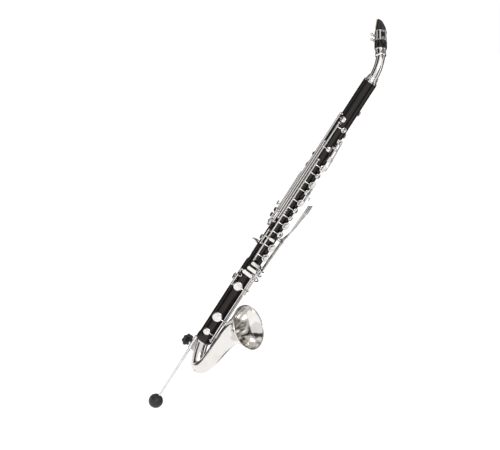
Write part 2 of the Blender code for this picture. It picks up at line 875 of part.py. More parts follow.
def ligature():
    low = mouthpiece_start + band_length + 0.0012
    high = low + ligature_length - 0.0015
    inner = waist_radius + touching_gap
    outer = inner + 0.0008
    band = [(outer, high), (outer, low), (inner, low), (inner, high)]
    middle = (low + high) / 2
    windows = []
    for angle in (58, 122):
        turn = Matrix.Rotation(math.radians(angle), 4, "Z")
        hole = mouth_frame @ turn @ Matrix.Translation((outer, 0, middle + 0.0010))
        windows.append(box((0.008, 0.0095, 0.0115), hole))
    ears = []
    for along in (low + 0.0060, high - 0.0060):
        ear = mouth_frame @ Matrix.Translation((0.0042, -outer - 0.0016, along))
        ears.append(box((0.0040, 0.0048, 0.0070), ear))
        ear = mouth_frame @ Matrix.Translation((-0.0042, -outer - 0.0016, along))
        ears.append(box((0.0040, 0.0048, 0.0070), ear))
    body = turned(band, mouth_frame, 28, ring=True)
    holes = []
    for along in (low + 0.0060, high - 0.0060):
        centre = Vector((0, -outer - 0.0022, along))
        holes.append(
            cylinder(
                mouth_frame @ (centre + Vector((0.02, 0, 0))),
                mouth_frame @ (centre - Vector((0.02, 0, 0))),
                0.00135,
            )
        )
    subpart("ligature", joined([body, *ears], [*windows, *holes]), silver)
    for name, along in (("lower", low + 0.0060), ("upper", high - 0.0060)):
        centre = Vector((0, -outer - 0.0022, along))
        inner_end = mouth_frame @ (centre - Vector((0.0070, 0, 0)))
        head_start = mouth_frame @ (centre + Vector((0.0068, 0, 0)))
        head_end = mouth_frame @ (centre + Vector((0.0155, 0, 0)))
        neck_point = mouth_frame @ (centre + Vector((0.0100, 0, 0)))
        pieces = [
            cylinder(inner_end, neck_point, 0.0010),
            cylinder(head_start, neck_point, 0.0018, 10, 0.0014),
            cylinder(neck_point - (neck_point - head_start) * 0.2, head_end, 0.0030, 12, 0.0034),
        ]
        body = joined(pieces)
        subpart("ligature_" + name + "_screw", body, silver, mouth_frame @ centre)


# Bell, bow and their tenon

bow_route = (
    (0, 0.7238, 0.0143),
    (0, 0.7262, 0.0143),
    (0.0045, 0.7370, 0.0145),
    (0.0110, 0.7530, 0.0150),
    (0.0215, 0.7700, 0.0155),
    (0.0292, 0.7748, 0.0158),
    (0.0376, 0.7730, 0.0162),
    (0.0446, 0.7650, 0.0166),
    (0.0490, 0.7540, 0.0172),
    (0.0515, 0.7410, 0.0179),
    (0.0537, 0.7200, 0.0192),
    (0.0566, 0.6930, 0.0213),
    (0.0598, 0.6760, 0.0232),
    (0.0648, 0.6605, 0.0263),
    (0.0716, 0.6480, 0.0306),
    (0.0794, 0.6375, 0.0362),
    (0.0872, 0.6284, 0.0430),
    (0.0934, 0.6214, 0.0490),
    (0.0968, 0.6178, rim_radius - 0.0012),
)


def bow_points():
    return [Vector((0, -forward, -depth)) for forward, depth, _ in bow_route]


def bell():
    """One thin shell from the tenon round the bow to the flare, with a rolled rim."""
    widths = [radius for _, _, radius in bow_route]
    skin = wire(bow_points(), 1, bell_sides // 2 - 2, widths, caps=False)
    shell = baked(skin)
    solid = shell.modifiers.new("wall", "SOLIDIFY")
    solid.thickness = bell_wall
    solid.offset = -1
    shell = baked(shell)
    facing = (bow_points()[-1] - bow_points()[-2]).normalized()
    rim_place = facing.to_track_quat("Z", "Y").to_matrix().to_4x4()
    rim_place.translation = bow_points()[-1]
    bead = []
    for step in range(6):
        turn = 2 * math.pi * step / 6
        bead.append(
            (
                rim_radius - 0.0016 + rim_bead_radius * math.cos(turn),
                rim_bead_radius * math.sin(turn),
            )
        )
    rim = turned(bead[::-1], rim_place, bell_sides, ring=True)
    collar = [
        (tenon_radius, -0.7000),
        (tenon_radius, -0.7226),
        (0.0164, -0.7226),
        (0.0164, -0.7262),
        (0.0138, -0.7268),
        (tenon_radius - bell_wall, -0.7252),
        (tenon_radius - bell_wall, -0.7000),
    ]
    subpart("bell", joined([shell, rim, turned(collar, sides=bell_sides, ring=True)]), silver)
    sleeve = [(0.0137, -0.7030), (0.0137, -0.7200), (0.0129, -0.7200), (0.0129, -0.7030)]
    subpart("bell_cork", turned(sleeve, sides=20, ring=True), cork)


# Floor peg


def floor_peg():
    centre = Vector((0, peg_back, 0))
    down = Vector((0, 0, -1))
    tube = cylinder(centre + down * holder_top, centre + down * holder_bottom, 0.0052, 16)
    web = box((0.0056, 0.0170, 0.0240), Matrix.Translation((0, 0.0125, -0.7440)))
    foot = box((0.0150, 0.0050, 0.0260), Matrix.Translation((0, 0.0070, -0.7440)))
    bore = cylinder(centre + down * 0.70, centre + down * 0.78, peg_radius + 0.0002, 16)
    boss_start = Vector((0, peg_back + 0.0030, -knob_depth))
    boss_end = Vector((0, peg_back + 0.0085, -knob_depth))
    boss = cylinder(boss_start, boss_end, 0.0042, 12)
    thread = cylinder(Vector((0, peg_back, -knob_depth)), boss_end + Vector((0, 0.01, 0)), 0.0022)
    widths = [radius + touching_gap + 0.0001 for _, _, radius in bow_route[:12]]
    near_bow = rod(bow_points()[:12], 1, bell_sides // 2 - 2, widths)
    collar_room = cylinder((0, 0, -0.7200), (0, 0, -0.7272), 0.0169, 28)
    body = joined([tube, web, foot, boss], [bore, thread, near_bow, collar_room])
    subpart("peg_holder", body, silver)
    rod_end = centre + down * (ball_depth - 0.008)
    stick = cylinder(centre + down * peg_top, rod_end, peg_radius, 16)
    subpart("peg_rod", stick, steel, centre + down * peg_top)
    ball_centre = centre + down * ball_depth
    socket = cylinder(
        centre + down * (ball_depth - 0.030),
        centre + down * (ball_depth - 0.0075),
        peg_radius + 0.0002,
        16,
    )
    subpart("peg_ball", joined([ball(ball_centre, ball_radius, 18, 9)], [socket]), rubber, ball_centre)
    outline = []
    points_per_lobe = 6
    for step in range(knob_lobes * points_per_lobe):
        turn = 2 * math.pi * step / (knob_lobes * points_per_lobe)
        reach = knob_radius - 0.0022 * (1 - math.cos(knob_lobes * turn)) / 2
        outline.append((reach * math.cos(turn), reach * math.sin(turn)))
    face = Matrix.Rotation(math.radians(-90), 4, "X")
    face.translation = Vector((0, peg_back + 0.0215, -knob_depth))
    star = plate(outline, 0.0075, face)
    hub_start = Vector((0, peg_back + 0.0100, -knob_depth))
    hub = cylinder(hub_start, face.translation, 0.0058, 14)
    screw = cylinder(
        Vector((0, peg_back + peg_radius + 0.0006, -knob_depth)), face.translation, 0.0020
    )
    subpart("peg_knob", joined([star, hub, screw]), rubber, face.translation.copy())


# Strap ring and thumb rest on the back


def ring_about(placing, radius, thickness, sides=18, around=8):
    """A round ring about the placing's Z."""
    section = []
    for step in range(around):
        turn = 2 * math.pi * step / around
        section.append((radius + thickness * math.cos(turn), thickness * math.sin(turn)))
    return turned(section[::-1], placing, sides, ring=True)


def strap_ring():
    base = facing_out(180, upper_radius + touching_gap + 0.0011, strap_eye_depth)
    foot = plate(rounded_outline(0.0300, 0.0100, 0.0048), 0.0022, base)
    eye = at(180, strap_eye_radius, strap_eye_depth)
    across = Matrix.Rotation(math.radians(90), 4, "Y")
    across.translation = eye
    ring = ring_about(across, 0.0058, 0.0014)
    stem = cylinder(at(180, upper_radius + 0.001, strap_eye_depth), eye - Vector((0, 0.0056, 0)), 0.0024)
    subpart("strap_ring", joined([foot, ring, stem]), silver)


def thumb_rest():
    depth = 0.4660
    base = facing_out(180, upper_radius + touching_gap + 0.0011, depth)
    foot = plate(rounded_outline(0.0400, 0.0130, 0.0050), 0.0022, base)
    shelf_top = Matrix.Translation((0, upper_radius + 0.0118, -depth + 0.0120))
    outline = rounded_outline(0.0200, 0.0220, 0.0045)
    shelf = plate(outline, 0.0030, shelf_top)
    rib = cylinder(
        at(180, upper_radius + 0.0010, depth - 0.0170),
        at(180, upper_radius + 0.0150, depth - 0.0128),
        0.0018,
    )
    subpart("thumb_rest", joined([foot, shelf, rib]), silver)


left_stack()
right_stack()
side_keys()
sliver_key()
register_keys()
thumb_key()
c_sharp_key()
throat_keys()
little_keys()
a_flat_key()
left_levers()
wooden_body()
neck()
mouthpiece()
reed()
ligature()
bell()
floor_peg()
strap_ring()
thumb_rest()
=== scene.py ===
# Alto clarinet, dressed for a plain studio: dark wood, silver keywork, upturned bell and floor peg.

import math

import bmesh
import bpy
from mathutils import Matrix, Vector


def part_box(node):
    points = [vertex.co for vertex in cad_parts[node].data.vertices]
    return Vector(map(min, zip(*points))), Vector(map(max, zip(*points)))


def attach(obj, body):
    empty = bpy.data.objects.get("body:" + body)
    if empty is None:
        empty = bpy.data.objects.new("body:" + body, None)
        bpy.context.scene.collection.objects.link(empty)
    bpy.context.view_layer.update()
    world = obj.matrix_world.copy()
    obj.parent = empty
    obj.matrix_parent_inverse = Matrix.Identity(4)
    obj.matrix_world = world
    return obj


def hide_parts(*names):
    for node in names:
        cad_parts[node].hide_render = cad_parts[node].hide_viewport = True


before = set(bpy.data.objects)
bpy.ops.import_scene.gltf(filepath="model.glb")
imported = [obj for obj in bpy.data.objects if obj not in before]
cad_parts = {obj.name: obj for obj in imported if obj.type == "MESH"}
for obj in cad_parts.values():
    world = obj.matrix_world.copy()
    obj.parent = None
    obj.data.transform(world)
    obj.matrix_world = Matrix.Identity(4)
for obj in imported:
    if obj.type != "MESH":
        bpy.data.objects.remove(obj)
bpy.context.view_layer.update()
print("frame loaded")

# Lengths are in metres. Places are given round the bore line, as in the frame.
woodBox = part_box("wooden_body")
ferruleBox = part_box("top_ferrule")
axisY = (ferruleBox[0][1] + ferruleBox[1][1]) / 2
topZ = woodBox[1][2]


def at(angle, radius, depth):
    turn = math.radians(angle)
    return Vector((-radius * math.sin(turn), axisY - radius * math.cos(turn), topZ - depth))


def facingOut(angle, radius, depth):
    turn = math.radians(angle)
    out = Vector((-math.sin(turn), -math.cos(turn), 0))
    down = Vector((0, 0, -1))
    placing = Matrix((down, out.cross(down), out)).transposed().to_4x4()
    placing.translation = at(angle, radius, depth)
    return placing


# Shader maths


class Wave:
    # A socket that can be added to, multiplied and mixed.

    def __init__(self, tree, socket):
        self.tree = tree
        self.socket = socket

    def node(self, kind, settings, values, output=0):
        # Any node: its settings first, then the values or links of its sockets.
        made = self.tree.nodes.new(kind)
        for name, value in settings.items():
            setattr(made, name, value)
        for name, value in values.items():
            if isinstance(value, Wave):
                self.tree.links.new(value.socket, made.inputs[name])
            else:
                made.inputs[name].default_value = value
        return Wave(self.tree, made.outputs[output])

    def math(self, operation, first, second):
        return self.node("ShaderNodeMath", {"operation": operation}, {0: first, 1: second})

    def __add__(self, other):
        return self.math("ADD", self, other)

    def __radd__(self, other):
        return self.math("ADD", other, self)

    def __sub__(self, other):
        return self.math("SUBTRACT", self, other)

    def __rsub__(self, other):
        return self.math("SUBTRACT", other, self)

    def __mul__(self, other):
        return self.math("MULTIPLY", self, other)

    def __rmul__(self, other):
        return self.math("MULTIPLY", other, self)

    def clipped(self):
        return self.math("MINIMUM", self.math("MAXIMUM", self, 0.0), 1.0)

    def blend(self, low, high):
        # A colour between low, where this is 0, and high, where it is 1.
        low, high = (value if isinstance(value, Wave) else (*value, 1) for value in (low, high))
        return self.node("ShaderNodeMix", {"data_type": "RGBA"}, {0: self, 6: low, 7: high}, 2)


def treeStart(tree):
    return Wave(tree, None)


def newFinish(name, colour, roughness, metallic=0.0):
    made = bpy.data.materials.new(name)
    made.use_nodes = True
    shader = made.node_tree.nodes["Principled BSDF"]
    shader.inputs["Base Color"].default_value = (*colour, 1)
    shader.inputs["Roughness"].default_value = roughness
    shader.inputs["Metallic"].default_value = metallic
    place = treeStart(made.node_tree).node("ShaderNodeTexCoord", {}, {}, "Object")
    return made, shader, place


def noise(place, scale, detail=3.0, stretch=None):
    if stretch:
        place = place.node("ShaderNodeMapping", {}, {"Vector": place, "Scale": stretch})
    values = {"Vector": place, "Scale": scale, "Detail": detail}
    return place.node("ShaderNodeTexNoise", {}, values, "Fac")


def feed(shader, name, wave):
    wave.tree.links.new(wave.socket, shader.inputs[name])


def bumped(shader, wave, strength, distance):
    values = {"Height": wave, "Strength": strength, "Distance": distance}
    feed(shader, "Normal", wave.node("ShaderNodeBump", {}, values))


silverLook = {"colour": (0.72, 0.70, 0.675), "tarnish": (0.52, 0.48, 0.42), "roughness": 0.13}


def silverFinish():
    made, shader, place = newFinish("silverPlate", silverLook["colour"], 0.13, 1.0)
    cloud = noise(place, 38.0, 4.0)
    stain = ((cloud - 0.52) * 3.0).clipped() * 0.35
    feed(shader, "Base Color", stain.blend(silverLook["colour"], silverLook["tarnish"]))
    feed(shader, "Roughness", noise(place, 210.0) * 0.10 + (silverLook["roughness"] - 0.05))
    bumped(shader, noise(place, 420.0, 2.0), 0.04, 0.0004)
    return made


woodLook = {"dark": (0.007, 0.0055, 0.005), "grain": (0.022, 0.014, 0.010), "roughness": 0.20}


def woodFinish():
    made, shader, place = newFinish("darkWood", woodLook["dark"], woodLook["roughness"])
    grain = noise(place, 60.0, 6.0, (3.0, 3.0, 0.10))
    streak = ((grain - 0.42) * 3.2).clipped()
    feed(shader, "Base Color", streak.blend(woodLook["dark"], woodLook["grain"]))
    feed(shader, "Roughness", streak * 0.12 + woodLook["roughness"])
    bumped(shader, noise(place, 160.0, 4.0, (5.0, 5.0, 0.12)), 0.10, 0.0003)
    shader.inputs["Specular IOR Level"].default_value = 0.30
    shader.inputs["Coat Weight"].default_value = 0.12
    shader.inputs["Coat Roughness"].default_value = 0.12
    return made


def plainFinish(name, colour, roughness, metallic, grainScale, strength, second):
    made, shader, place = newFinish(name, colour, roughness, metallic)
    mask = ((noise(place, grainScale, 4.0) - 0.4) * 2.4).clipped()
    feed(shader, "Base Color", mask.blend(colour, second))
    feed(shader, "Roughness", mask * 0.10 + (roughness - 0.04))
    bumped(shader, noise(place, grainScale * 6), strength, 0.0004)
    return made


silver = silverFinish()
darkWood = woodFinish()
ebonite = plainFinish("ebonite", (0.012, 0.012, 0.013), 0.2, 0.0, 70.0, 0.03, (0.022, 0.021, 0.02))
cane = plainFinish("cane", (0.62, 0.48, 0.26), 0.55, 0.0, 90.0, 0.20, (0.70, 0.58, 0.34))
cork = plainFinish("cork", (0.50, 0.33, 0.19), 0.85, 0.0, 300.0, 0.50, (0.36, 0.22, 0.12))
padSkin = plainFinish("padSkin", (0.55, 0.40, 0.28), 0.70, 0.0, 200.0, 0.25, (0.42, 0.29, 0.19))
steel = plainFinish("steel", (0.70, 0.69, 0.68), 0.22, 1.0, 120.0, 0.04, (0.58, 0.57, 0.56))
rubber = plainFinish("rubber", (0.016, 0.016, 0.017), 0.48, 0.0, 160.0, 0.15, (0.028, 0.027, 0.027))
print("finishes made")


# Shapes


class Shape:
    # Points and faces gathered into one piece.

    def __init__(self):
        self.points = []
        self.faces = []

    def lathe(self, profile, placing, sides=48, ring=False):
        # A profile of (radius, height) turned about the placing's Z.
        rows = []
        for radius, height in profile:
            start = len(self.points)
            if radius < 1e-7:
                self.points.append(placing @ Vector((0, 0, height)))
                rows.append([start] * sides)
                continue
            for step in range(sides):
                turn = 2 * math.pi * step / sides
                local = Vector((radius * math.cos(turn), radius * math.sin(turn), height))
                self.points.append(placing @ local)
            rows.append(list(range(start, start + sides)))
        self.skin(rows, ring)

    def skin(self, rows, ring=False):
        # Faces between rows of points, each row closed on itself.
        pairs = list(zip(rows, rows[1:]))
        if ring:
            pairs.append((rows[-1], rows[0]))
        for first, second in pairs:
            for step in range(len(first)):
                after = (step + 1) % len(first)
                corners = [first[step], second[step], second[after], first[after]]
                kept = [c for i, c in enumerate(corners) if c not in corners[:i]]
                if len(kept) > 2:
                    self.faces.append(kept)

    def rows(self, sections, caps=True):
        # Sections of points joined one after another.
        numbered = []
        for section in sections:
            start = len(self.points)
            self.points += section
            numbered.append(list(range(start, start + len(section))))
        self.skin(numbered)
        if caps:
            self.faces.append(list(reversed(numbered[0])))
            self.faces.append(numbered[-1])

    def rod(self, points, radius, sides=14, caps=True):
        # A round rod through points. The radius is one number or one for each point.
        points = [Vector(point) for point in points]
        radii = radius if isinstance(radius, (list, tuple)) else [radius] * len(points)
        heading = (points[1] - points[0]).normalized()
        side = heading.orthogonal().normalized()
        sections = []
        for index, point in enumerate(points):
            before = points[max(index - 1, 0)]
            after = points[min(index + 1, len(points) - 1)]
            newHeading = (after - before).normalized()
            side = (heading.rotation_difference(newHeading) @ side).normalized()
            heading = newHeading
            across = heading.cross(side)
            section = []
            for step in range(sides):
                turn = 2 * math.pi * step / sides
                spoke = side * math.cos(turn) + across * math.sin(turn)
                section.append(point + spoke * radii[index])
            sections.append(section)
        self.rows(sections, caps)

    def slab(self, outline, thickness, placing, soft=0.0006, dome=0.0):
        # A plate with softened edges and, if asked for, a domed top.
        reach = max(math.hypot(*point) for point in outline)
        levels = [
            (-thickness / 2, soft),
            (-thickness / 2 + soft, 0),
            (thickness / 2 - soft, 0),
            (thickness / 2 - 0.3 * soft, 0.3 * soft),
            (thickness / 2, soft),
        ]
        sections = []
        for height, inset in levels:
            shrink = 1 - inset / reach * 1.4
            scaled = [(x * shrink, y * shrink) for x, y in outline]
            sections.append([placing @ Vector((x, y, height)) for x, y in scaled])
        for part in (0.75, 0.45, 0.15):
            height = thickness / 2 + dome * (1 - part * part)
            sections.append([placing @ Vector((x * part, y * part, height)) for x, y in outline])
        self.rows(sections)

    def ball(self, centre, radius, sides=20):
        profile = []
        for step in range(13):
            turn = math.pi * step / 12
            profile.append((radius * math.sin(turn), radius * math.cos(turn)))
        profile[0] = (0, radius)
        profile[-1] = (0, -radius)
        self.lathe(profile, Matrix.Translation(centre), sides)

    def make(self, name, finish, sharp=35):
        mesh = bpy.data.meshes.new(name)
        mesh.from_pydata(self.points, [], self.faces)
        mesh.validate()
        made = bpy.data.objects.new(name, mesh)
        bpy.context.scene.collection.objects.link(made)
        mesh.materials.append(finish)
        fixNormals(mesh)
        mesh.shade_smooth()
        mesh.set_sharp_from_angle(angle=math.radians(sharp))
        return made


def fixNormals(mesh):
    shape = bmesh.new()
    shape.from_mesh(mesh)
    bmesh.ops.recalc_face_normals(shape, faces=shape.faces)
    shape.to_mesh(mesh)
    shape.free()


def roundedOutline(length, width, corner, steps=7):
    points = []
    for quarter in range(4):
        across = 1 if quarter in (0, 3) else -1
        up = 1 if quarter in (0, 1) else -1
        centreX = across * (length / 2 - corner)
        centreY = up * (width / 2 - corner)
        for step in range(steps + 1):
            turn = math.radians(90 * quarter + 90 * step / steps)
            points.append((centreX + corner * math.cos(turn), centreY + corner * math.sin(turn)))
    return points


def roundSection(radius, thickness, sides=14):
    # The section of a round wire bent into a ring.
    turns = [2 * math.pi * step / sides for step in range(sides)]
    return [(radius + thickness * math.cos(t), thickness * math.sin(t)) for t in turns]


def smoothed(points, steps=5):
    # Points of a curve that passes through the given ones.
    result = []
    for index in range(len(points) - 1):
        before = points[max(index - 1, 0)]
        start, end = points[index], points[index + 1]
        after = points[min(index + 2, len(points) - 1)]
        for step in range(steps):
            t = step / steps
            result.append(
                0.5
                * (
                    2 * start
                    + (end - before) * t
                    + (2 * before - 5 * start + 4 * end - after) * t * t
                    + (3 * start - before - 3 * end + after) * t * t * t
                )
            )
    result.append(points[-1])
    return result


def turnedOpen(shapes, line, degrees):
    # Opens shapes about a hinge line that runs along the body.
    pivot = at(line[0], line[1], 0)
    turn = Matrix.Translation(pivot) @ Matrix.Rotation(math.radians(degrees), 4, "Z")
    turn = turn @ Matrix.Translation(-pivot)
    for shape in shapes:
        shape.points = [turn @ point for point in shape.points]


def settle(obj, body, slotName, *nodes):
    if nodes:
        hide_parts(*nodes)
    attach(obj, body)
    return obj


# Wooden body

woodSizes = {
    "upperRadius": 0.0166,
    "lowerRadius": 0.0193,
    "ringRadius": 0.01975,
    "shoulderStart": 0.491,
    "shoulderEnd": 0.501,
    "ringStart": 0.7025,
    "length": 0.722,
    "chimneyRise": 0.0014,
    "gap": 0.0003,
}
toneHoles = []


def woodRadius(depth):
    sizes = woodSizes
    if depth < sizes["shoulderStart"]:
        return sizes["upperRadius"]
    if depth < sizes["shoulderEnd"]:
        share = (depth - sizes["shoulderStart"]) / (sizes["shoulderEnd"] - sizes["shoulderStart"])
        return sizes["upperRadius"] + share * (sizes["lowerRadius"] - sizes["upperRadius"])
    return sizes["lowerRadius"] if depth < sizes["ringStart"] else sizes["ringRadius"]


def woodenBody():
    sizes = woodSizes
    profile = [
        (0.0119, -0.0245),
        (0.0119, 0),
        (sizes["upperRadius"] - 0.0006, 0),
        (sizes["upperRadius"], -0.0006),
        (sizes["upperRadius"], -0.25),
    ]
    for step in range(11):
        share = step / 10
        smooth = share * share * (3 - 2 * share)
        radius = sizes["upperRadius"] + smooth * (sizes["lowerRadius"] - sizes["upperRadius"])
        depth = sizes["shoulderStart"] + share * (sizes["shoulderEnd"] - sizes["shoulderStart"])
        profile.append((radius, -depth))
    profile += [
        (sizes["lowerRadius"], -sizes["ringStart"]),
        (sizes["ringRadius"] - 0.0002, -sizes["ringStart"] - 0.0004),
        (sizes["ringRadius"], -sizes["ringStart"] - 0.0016),
        (sizes["ringRadius"], -sizes["length"] + 0.0040),
        (sizes["ringRadius"] - 0.0005, -sizes["length"] + 0.0014),
        (sizes["ringRadius"] - 0.0016, -sizes["length"]),
        (0.0139, -sizes["length"]),
        (0.0139, -sizes["length"] + 0.0235),
    ]
    shape = Shape()
    shape.lathe(profile, Matrix.Translation((0, axisY, topZ)), 128)
    for angle, depth, radius in toneHoles:
        outer = 0.70 * radius
        top = woodRadius(depth) + sizes["chimneyRise"]
        base = top - 0.006
        rim = [
            (0.66 * outer, 0),
            (0.66 * outer, top - base - 0.0003),
            (0.70 * outer, top - base),
            (outer - 0.0004, top - base),
            (outer, top - base - 0.0004),
            (outer + 0.0002, 0),
        ]
        shape.lathe(rim, facingOut(angle, base, depth), 32)
    settle(shape.make("woodBody", darkWood), "instrument", "dark_wood", "wooden_body")


# Keywork pieces

keySizes = {
    "line": 0.0225,
    "lowLine": 0.0250,
    "tube": 0.00235,
    "arm": 0.0014,
    "post": 0.0028,
    "postHalf": 0.0032,
    "cutHalf": 0.0002,
    "rod": 0.0012,
    "bar": 0.0017,
    "cupHeight": 0.0042,
    "padStep": 0.0008,
    "opening": 5.5,
    "plate": 0.0022,
}


def seatRadius(depth):
    return woodRadius(depth) + woodSizes["chimneyRise"] + woodSizes["gap"]


def addPost(shape, angle, radius, depth):
    foot = woodRadius(depth + 0.003) + woodSizes["gap"]
    height = radius - foot
    size = keySizes["post"]
    profile = []
    for step in range(11):
        turn = math.radians(148 * step / 10)
        profile.append((size * math.sin(turn), height + size * math.cos(turn)))
    profile += [
        (0.0013, height - size * 0.98),
        (0.00125, 0.0016),
        (0.0017, 0.0011),
        (0.0027, 0.0009),
        (0.0028, 0.0004),
        (0.0028, 0),
        (0, 0),
    ]
    profile[0] = (0, height + size)
    placing = facingOut(angle, foot, depth)
    shape.lathe(profile, placing, 24)


def hingeLine(name, node, angle, radius, posts):
    shape = Shape()
    shape.rod([at(angle, radius, posts[0]), at(angle, radius, posts[-1])], keySizes["rod"])
    for depth in posts:
        addPost(shape, angle, radius, depth)
    for depth, side in ((posts[0], -1), (posts[-1], 1)):  # pivot screw heads
        centre = at(angle, radius, depth + side * 0.0024)
        shape.rod([centre, at(angle, radius, depth + side * 0.0034)], [0.0015, 0.0013])
    settle(shape.make(name, silver), "instrument", "steel", node)


def spans(posts, cuts=()):
    # Lengths of tube between the posts and the cuts, with room at each end.
    stops = [(depth, keySizes["postHalf"]) for depth in posts]
    stops = sorted(stops + [(depth, keySizes["cutHalf"]) for depth in cuts])
    return [(first[0] + first[1], last[0] - last[1]) for first, last in zip(stops, stops[1:])]


def addCup(metal, pad, angle, depth, radius, dished=False, hole=0.0):
    toneHoles.append((angle, depth, radius))
    height = keySizes["cupHeight"] - 0.0002
    step = keySizes["padStep"]
    if hole:
        profile = [
            (hole, 0.0032),
            (hole + 0.0006, 0.0036),
            (0.80 * radius, 0.0035),
            (0.93 * radius, 0.0032),
            (radius, 0.0024),
            (radius, step),
            (0.92 * radius, step),
            (hole, step),
        ]
    elif dished:
        profile = [
            (0, 0.0026),
            (0.35 * radius, 0.0027),
            (0.66 * radius, 0.0032),
            (0.84 * radius, 0.0036),
            (0.94 * radius, 0.0034),
            (0.99 * radius, 0.0029),
            (radius, 0.0022),
            (radius, step),
            (0.92 * radius, step),
            (0, step),
        ]
    else:
        profile = [
            (0, height),
            (0.10 * radius, height),
            (0.14 * radius, height - 0.0002),
            (0.45 * radius, 0.0037),
            (0.72 * radius, 0.0034),
            (0.88 * radius, 0.0030),
            (0.97 * radius, 0.0024),
            (radius, 0.0018),
            (radius, step),
            (0.92 * radius, step),
            (0, step),
        ]
    placing = facingOut(angle, seatRadius(depth), depth)
    metal.lathe(profile, placing, 40, ring=bool(hole))
    skin = [(hole, step + 0.0004), (0.90 * radius, step + 0.0004), (0.90 * radius, 0.0003)]
    skin += [(0.84 * radius, 0), (0.66 * radius, 0), (hole, 0.0001)]
    pad.lathe(skin, placing, 32, ring=bool(hole))


def sweep(start, end, steps=10, rise=0.0):
    points = []
    for step in range(steps + 1):
        share = step / steps
        angle = start[0] + share * (end[0] - start[0])
        radius = start[1] + share * (end[1] - start[1]) + rise * math.sin(math.pi * share)
        points.append(at(angle, radius, start[2] + share * (end[2] - start[2])))
    return points


def addArm(shape, lineAngle, lineRadius, angle, depth, over=None):
    top = seatRadius(depth) + keySizes["cupHeight"] - keySizes["arm"]
    side = 1 if angle > lineAngle else -1
    near = (angle - side * 4, top, depth)
    radius = keySizes["arm"]
    if over is None:
        route = sweep((lineAngle, lineRadius, depth), near)
    else:
        crossed, clearRadius = over
        route = [
            at(lineAngle, lineRadius, depth),
            at(lineAngle + side * 4, clearRadius, depth),
            at(crossed, clearRadius, depth),
            at(*near),
        ]
        route = smoothed(route, 4)
    last = len(route) - 1
    thick = [radius * (1.25 - 0.35 * math.sin(math.pi * step / last)) for step in range(last + 1)]
    shape.rod(route, thick, 12)
    collar = Vector((0, 0, 0.0020))
    centre = at(lineAngle, lineRadius, depth)
    shape.rod([centre - collar, centre + collar], keySizes["tube"] + 0.0003, 24)


def addTouch(shape, angle, radius, depth, across, along, tilt=0.0):
    placing = facingOut(angle, radius, depth) @ Matrix.Rotation(math.radians(tilt), 4, "Z")
    outline = roundedOutline(along, across, min(across, along) * 0.46)
    shape.slab(outline, keySizes["plate"] - 0.0002, placing, 0.0006, 0.0001)


def addTube(shape, line, span):
    angle, radius = line
    top, bottom = span
    size = keySizes["tube"]
    shape.rod([at(angle, radius, top), at(angle, radius, bottom)], size - 0.00005, 24)


def finishKey(name, node, metal, pad, line=None, opened=0.0):
    if opened:
        turnedOpen([metal, pad], line, opened)
    settle(metal.make(name, silver), node, "silver_plate", node)
    if pad.points:
        settle(pad.make(name + "Pad", padSkin), node, "silver_plate")


# Stacks of finger keys

stackAngle = 56
plateauAngle = -3
leftPosts = (0.2090, 0.3485)
rightPosts = (0.3545, 0.4855)
leftStack = {
    "left_first_key": ((0.222, 0.0092, True, 0), (0.243, 0.0068, False, 0)),
    "left_second_key": ((0.268, 0.0095, True, 0), (0.2885, 0.0075, False, 0)),
    "left_third_key": ((0.317, 0.0095, True, 0), (0.339, 0.0068, False, 0)),
}
rightStack = {
    "right_vent_key": ((0.3605, 0.0060, False, 0),),
    "right_first_key": ((0.381, 0.0095, True, 0),),
    "right_second_key": ((0.4055, 0.0083, True, 0.0030),),
    "right_third_key": ((0.4425, 0.0095, True, 0), (0.4705, 0.0095, True, 0)),
}


def camel(node):
    first, *others = node.split("_")
    return first + "".join(word.capitalize() for word in others)


def stackKeys(keys, posts, cuts, rodNode):
    line = (stackAngle, keySizes["line"])
    hingeLine(camel(rodNode), rodNode, *line, posts)
    for (node, cups), span in zip(keys.items(), spans(posts, cuts)):
        metal, pad = Shape(), Shape()
        addTube(metal, line, span)
        for depth, radius, dished, hole in cups:
            addCup(metal, pad, plateauAngle, depth, radius, dished, hole)
            if hole:
                edge = plateauAngle + math.degrees(radius / line[1]) * 0.9
                reach = (edge, seatRadius(depth) + 0.0022, depth)
                metal.rod(sweep((*line, depth), reach), keySizes["arm"])
            else:
                addArm(metal, *line, plateauAngle, depth)
        finishKey(camel(node), node, metal, pad, line, -keySizes["opening"])


# Side keys

# Hinge angle, posts, then the cup's, the touch's and the bridge's places.
sideKeys = {
    "side_first_key": (
        101, (0.0935, 0.3560), (64, 0.102, 0.0070), (123, 0.0292, 0.3460), None
    ),
    "side_second_key": (
        71, (0.1130, 0.3710), (20, 0.122, 0.0066), (104, 0.0292, 0.3610), None
    ),
    "side_third_key": (
        86, (0.1668, 0.3860), (36, 0.177, 0.0062), (110, 0.0292, 0.3760), (66, 0.0272)
    ),
    "side_fourth_key": (
        116, (0.2583, 0.4010), (150, 0.268, 0.0068), (95, 0.0275, 0.3912), None
    ),
}


def makeSideKeys():
    for node, (angle, posts, hole, touchPlace, over) in sideKeys.items():
        line = (angle, keySizes["line"])
        hingeLine(camel(node) + "Rod", node + "_rod", *line, posts)
        metal, pad = Shape(), Shape()
        addTube(metal, line, spans(posts)[0])
        addCup(metal, pad, *hole)
        addArm(metal, *line, hole[0], hole[1], over)
        touchAngle, touchRadius, touchDepth = touchPlace
        outward = 3 if touchAngle > angle else -3
        rise = at(angle + outward, touchRadius, touchDepth)
        arm = [at(*line, touchDepth), rise, at(*touchPlace)]
        metal.rod(arm, keySizes["arm"])
        addTouch(metal, *touchPlace, 0.0125, 0.0112)
        finishKey(camel(node), node, metal, pad)


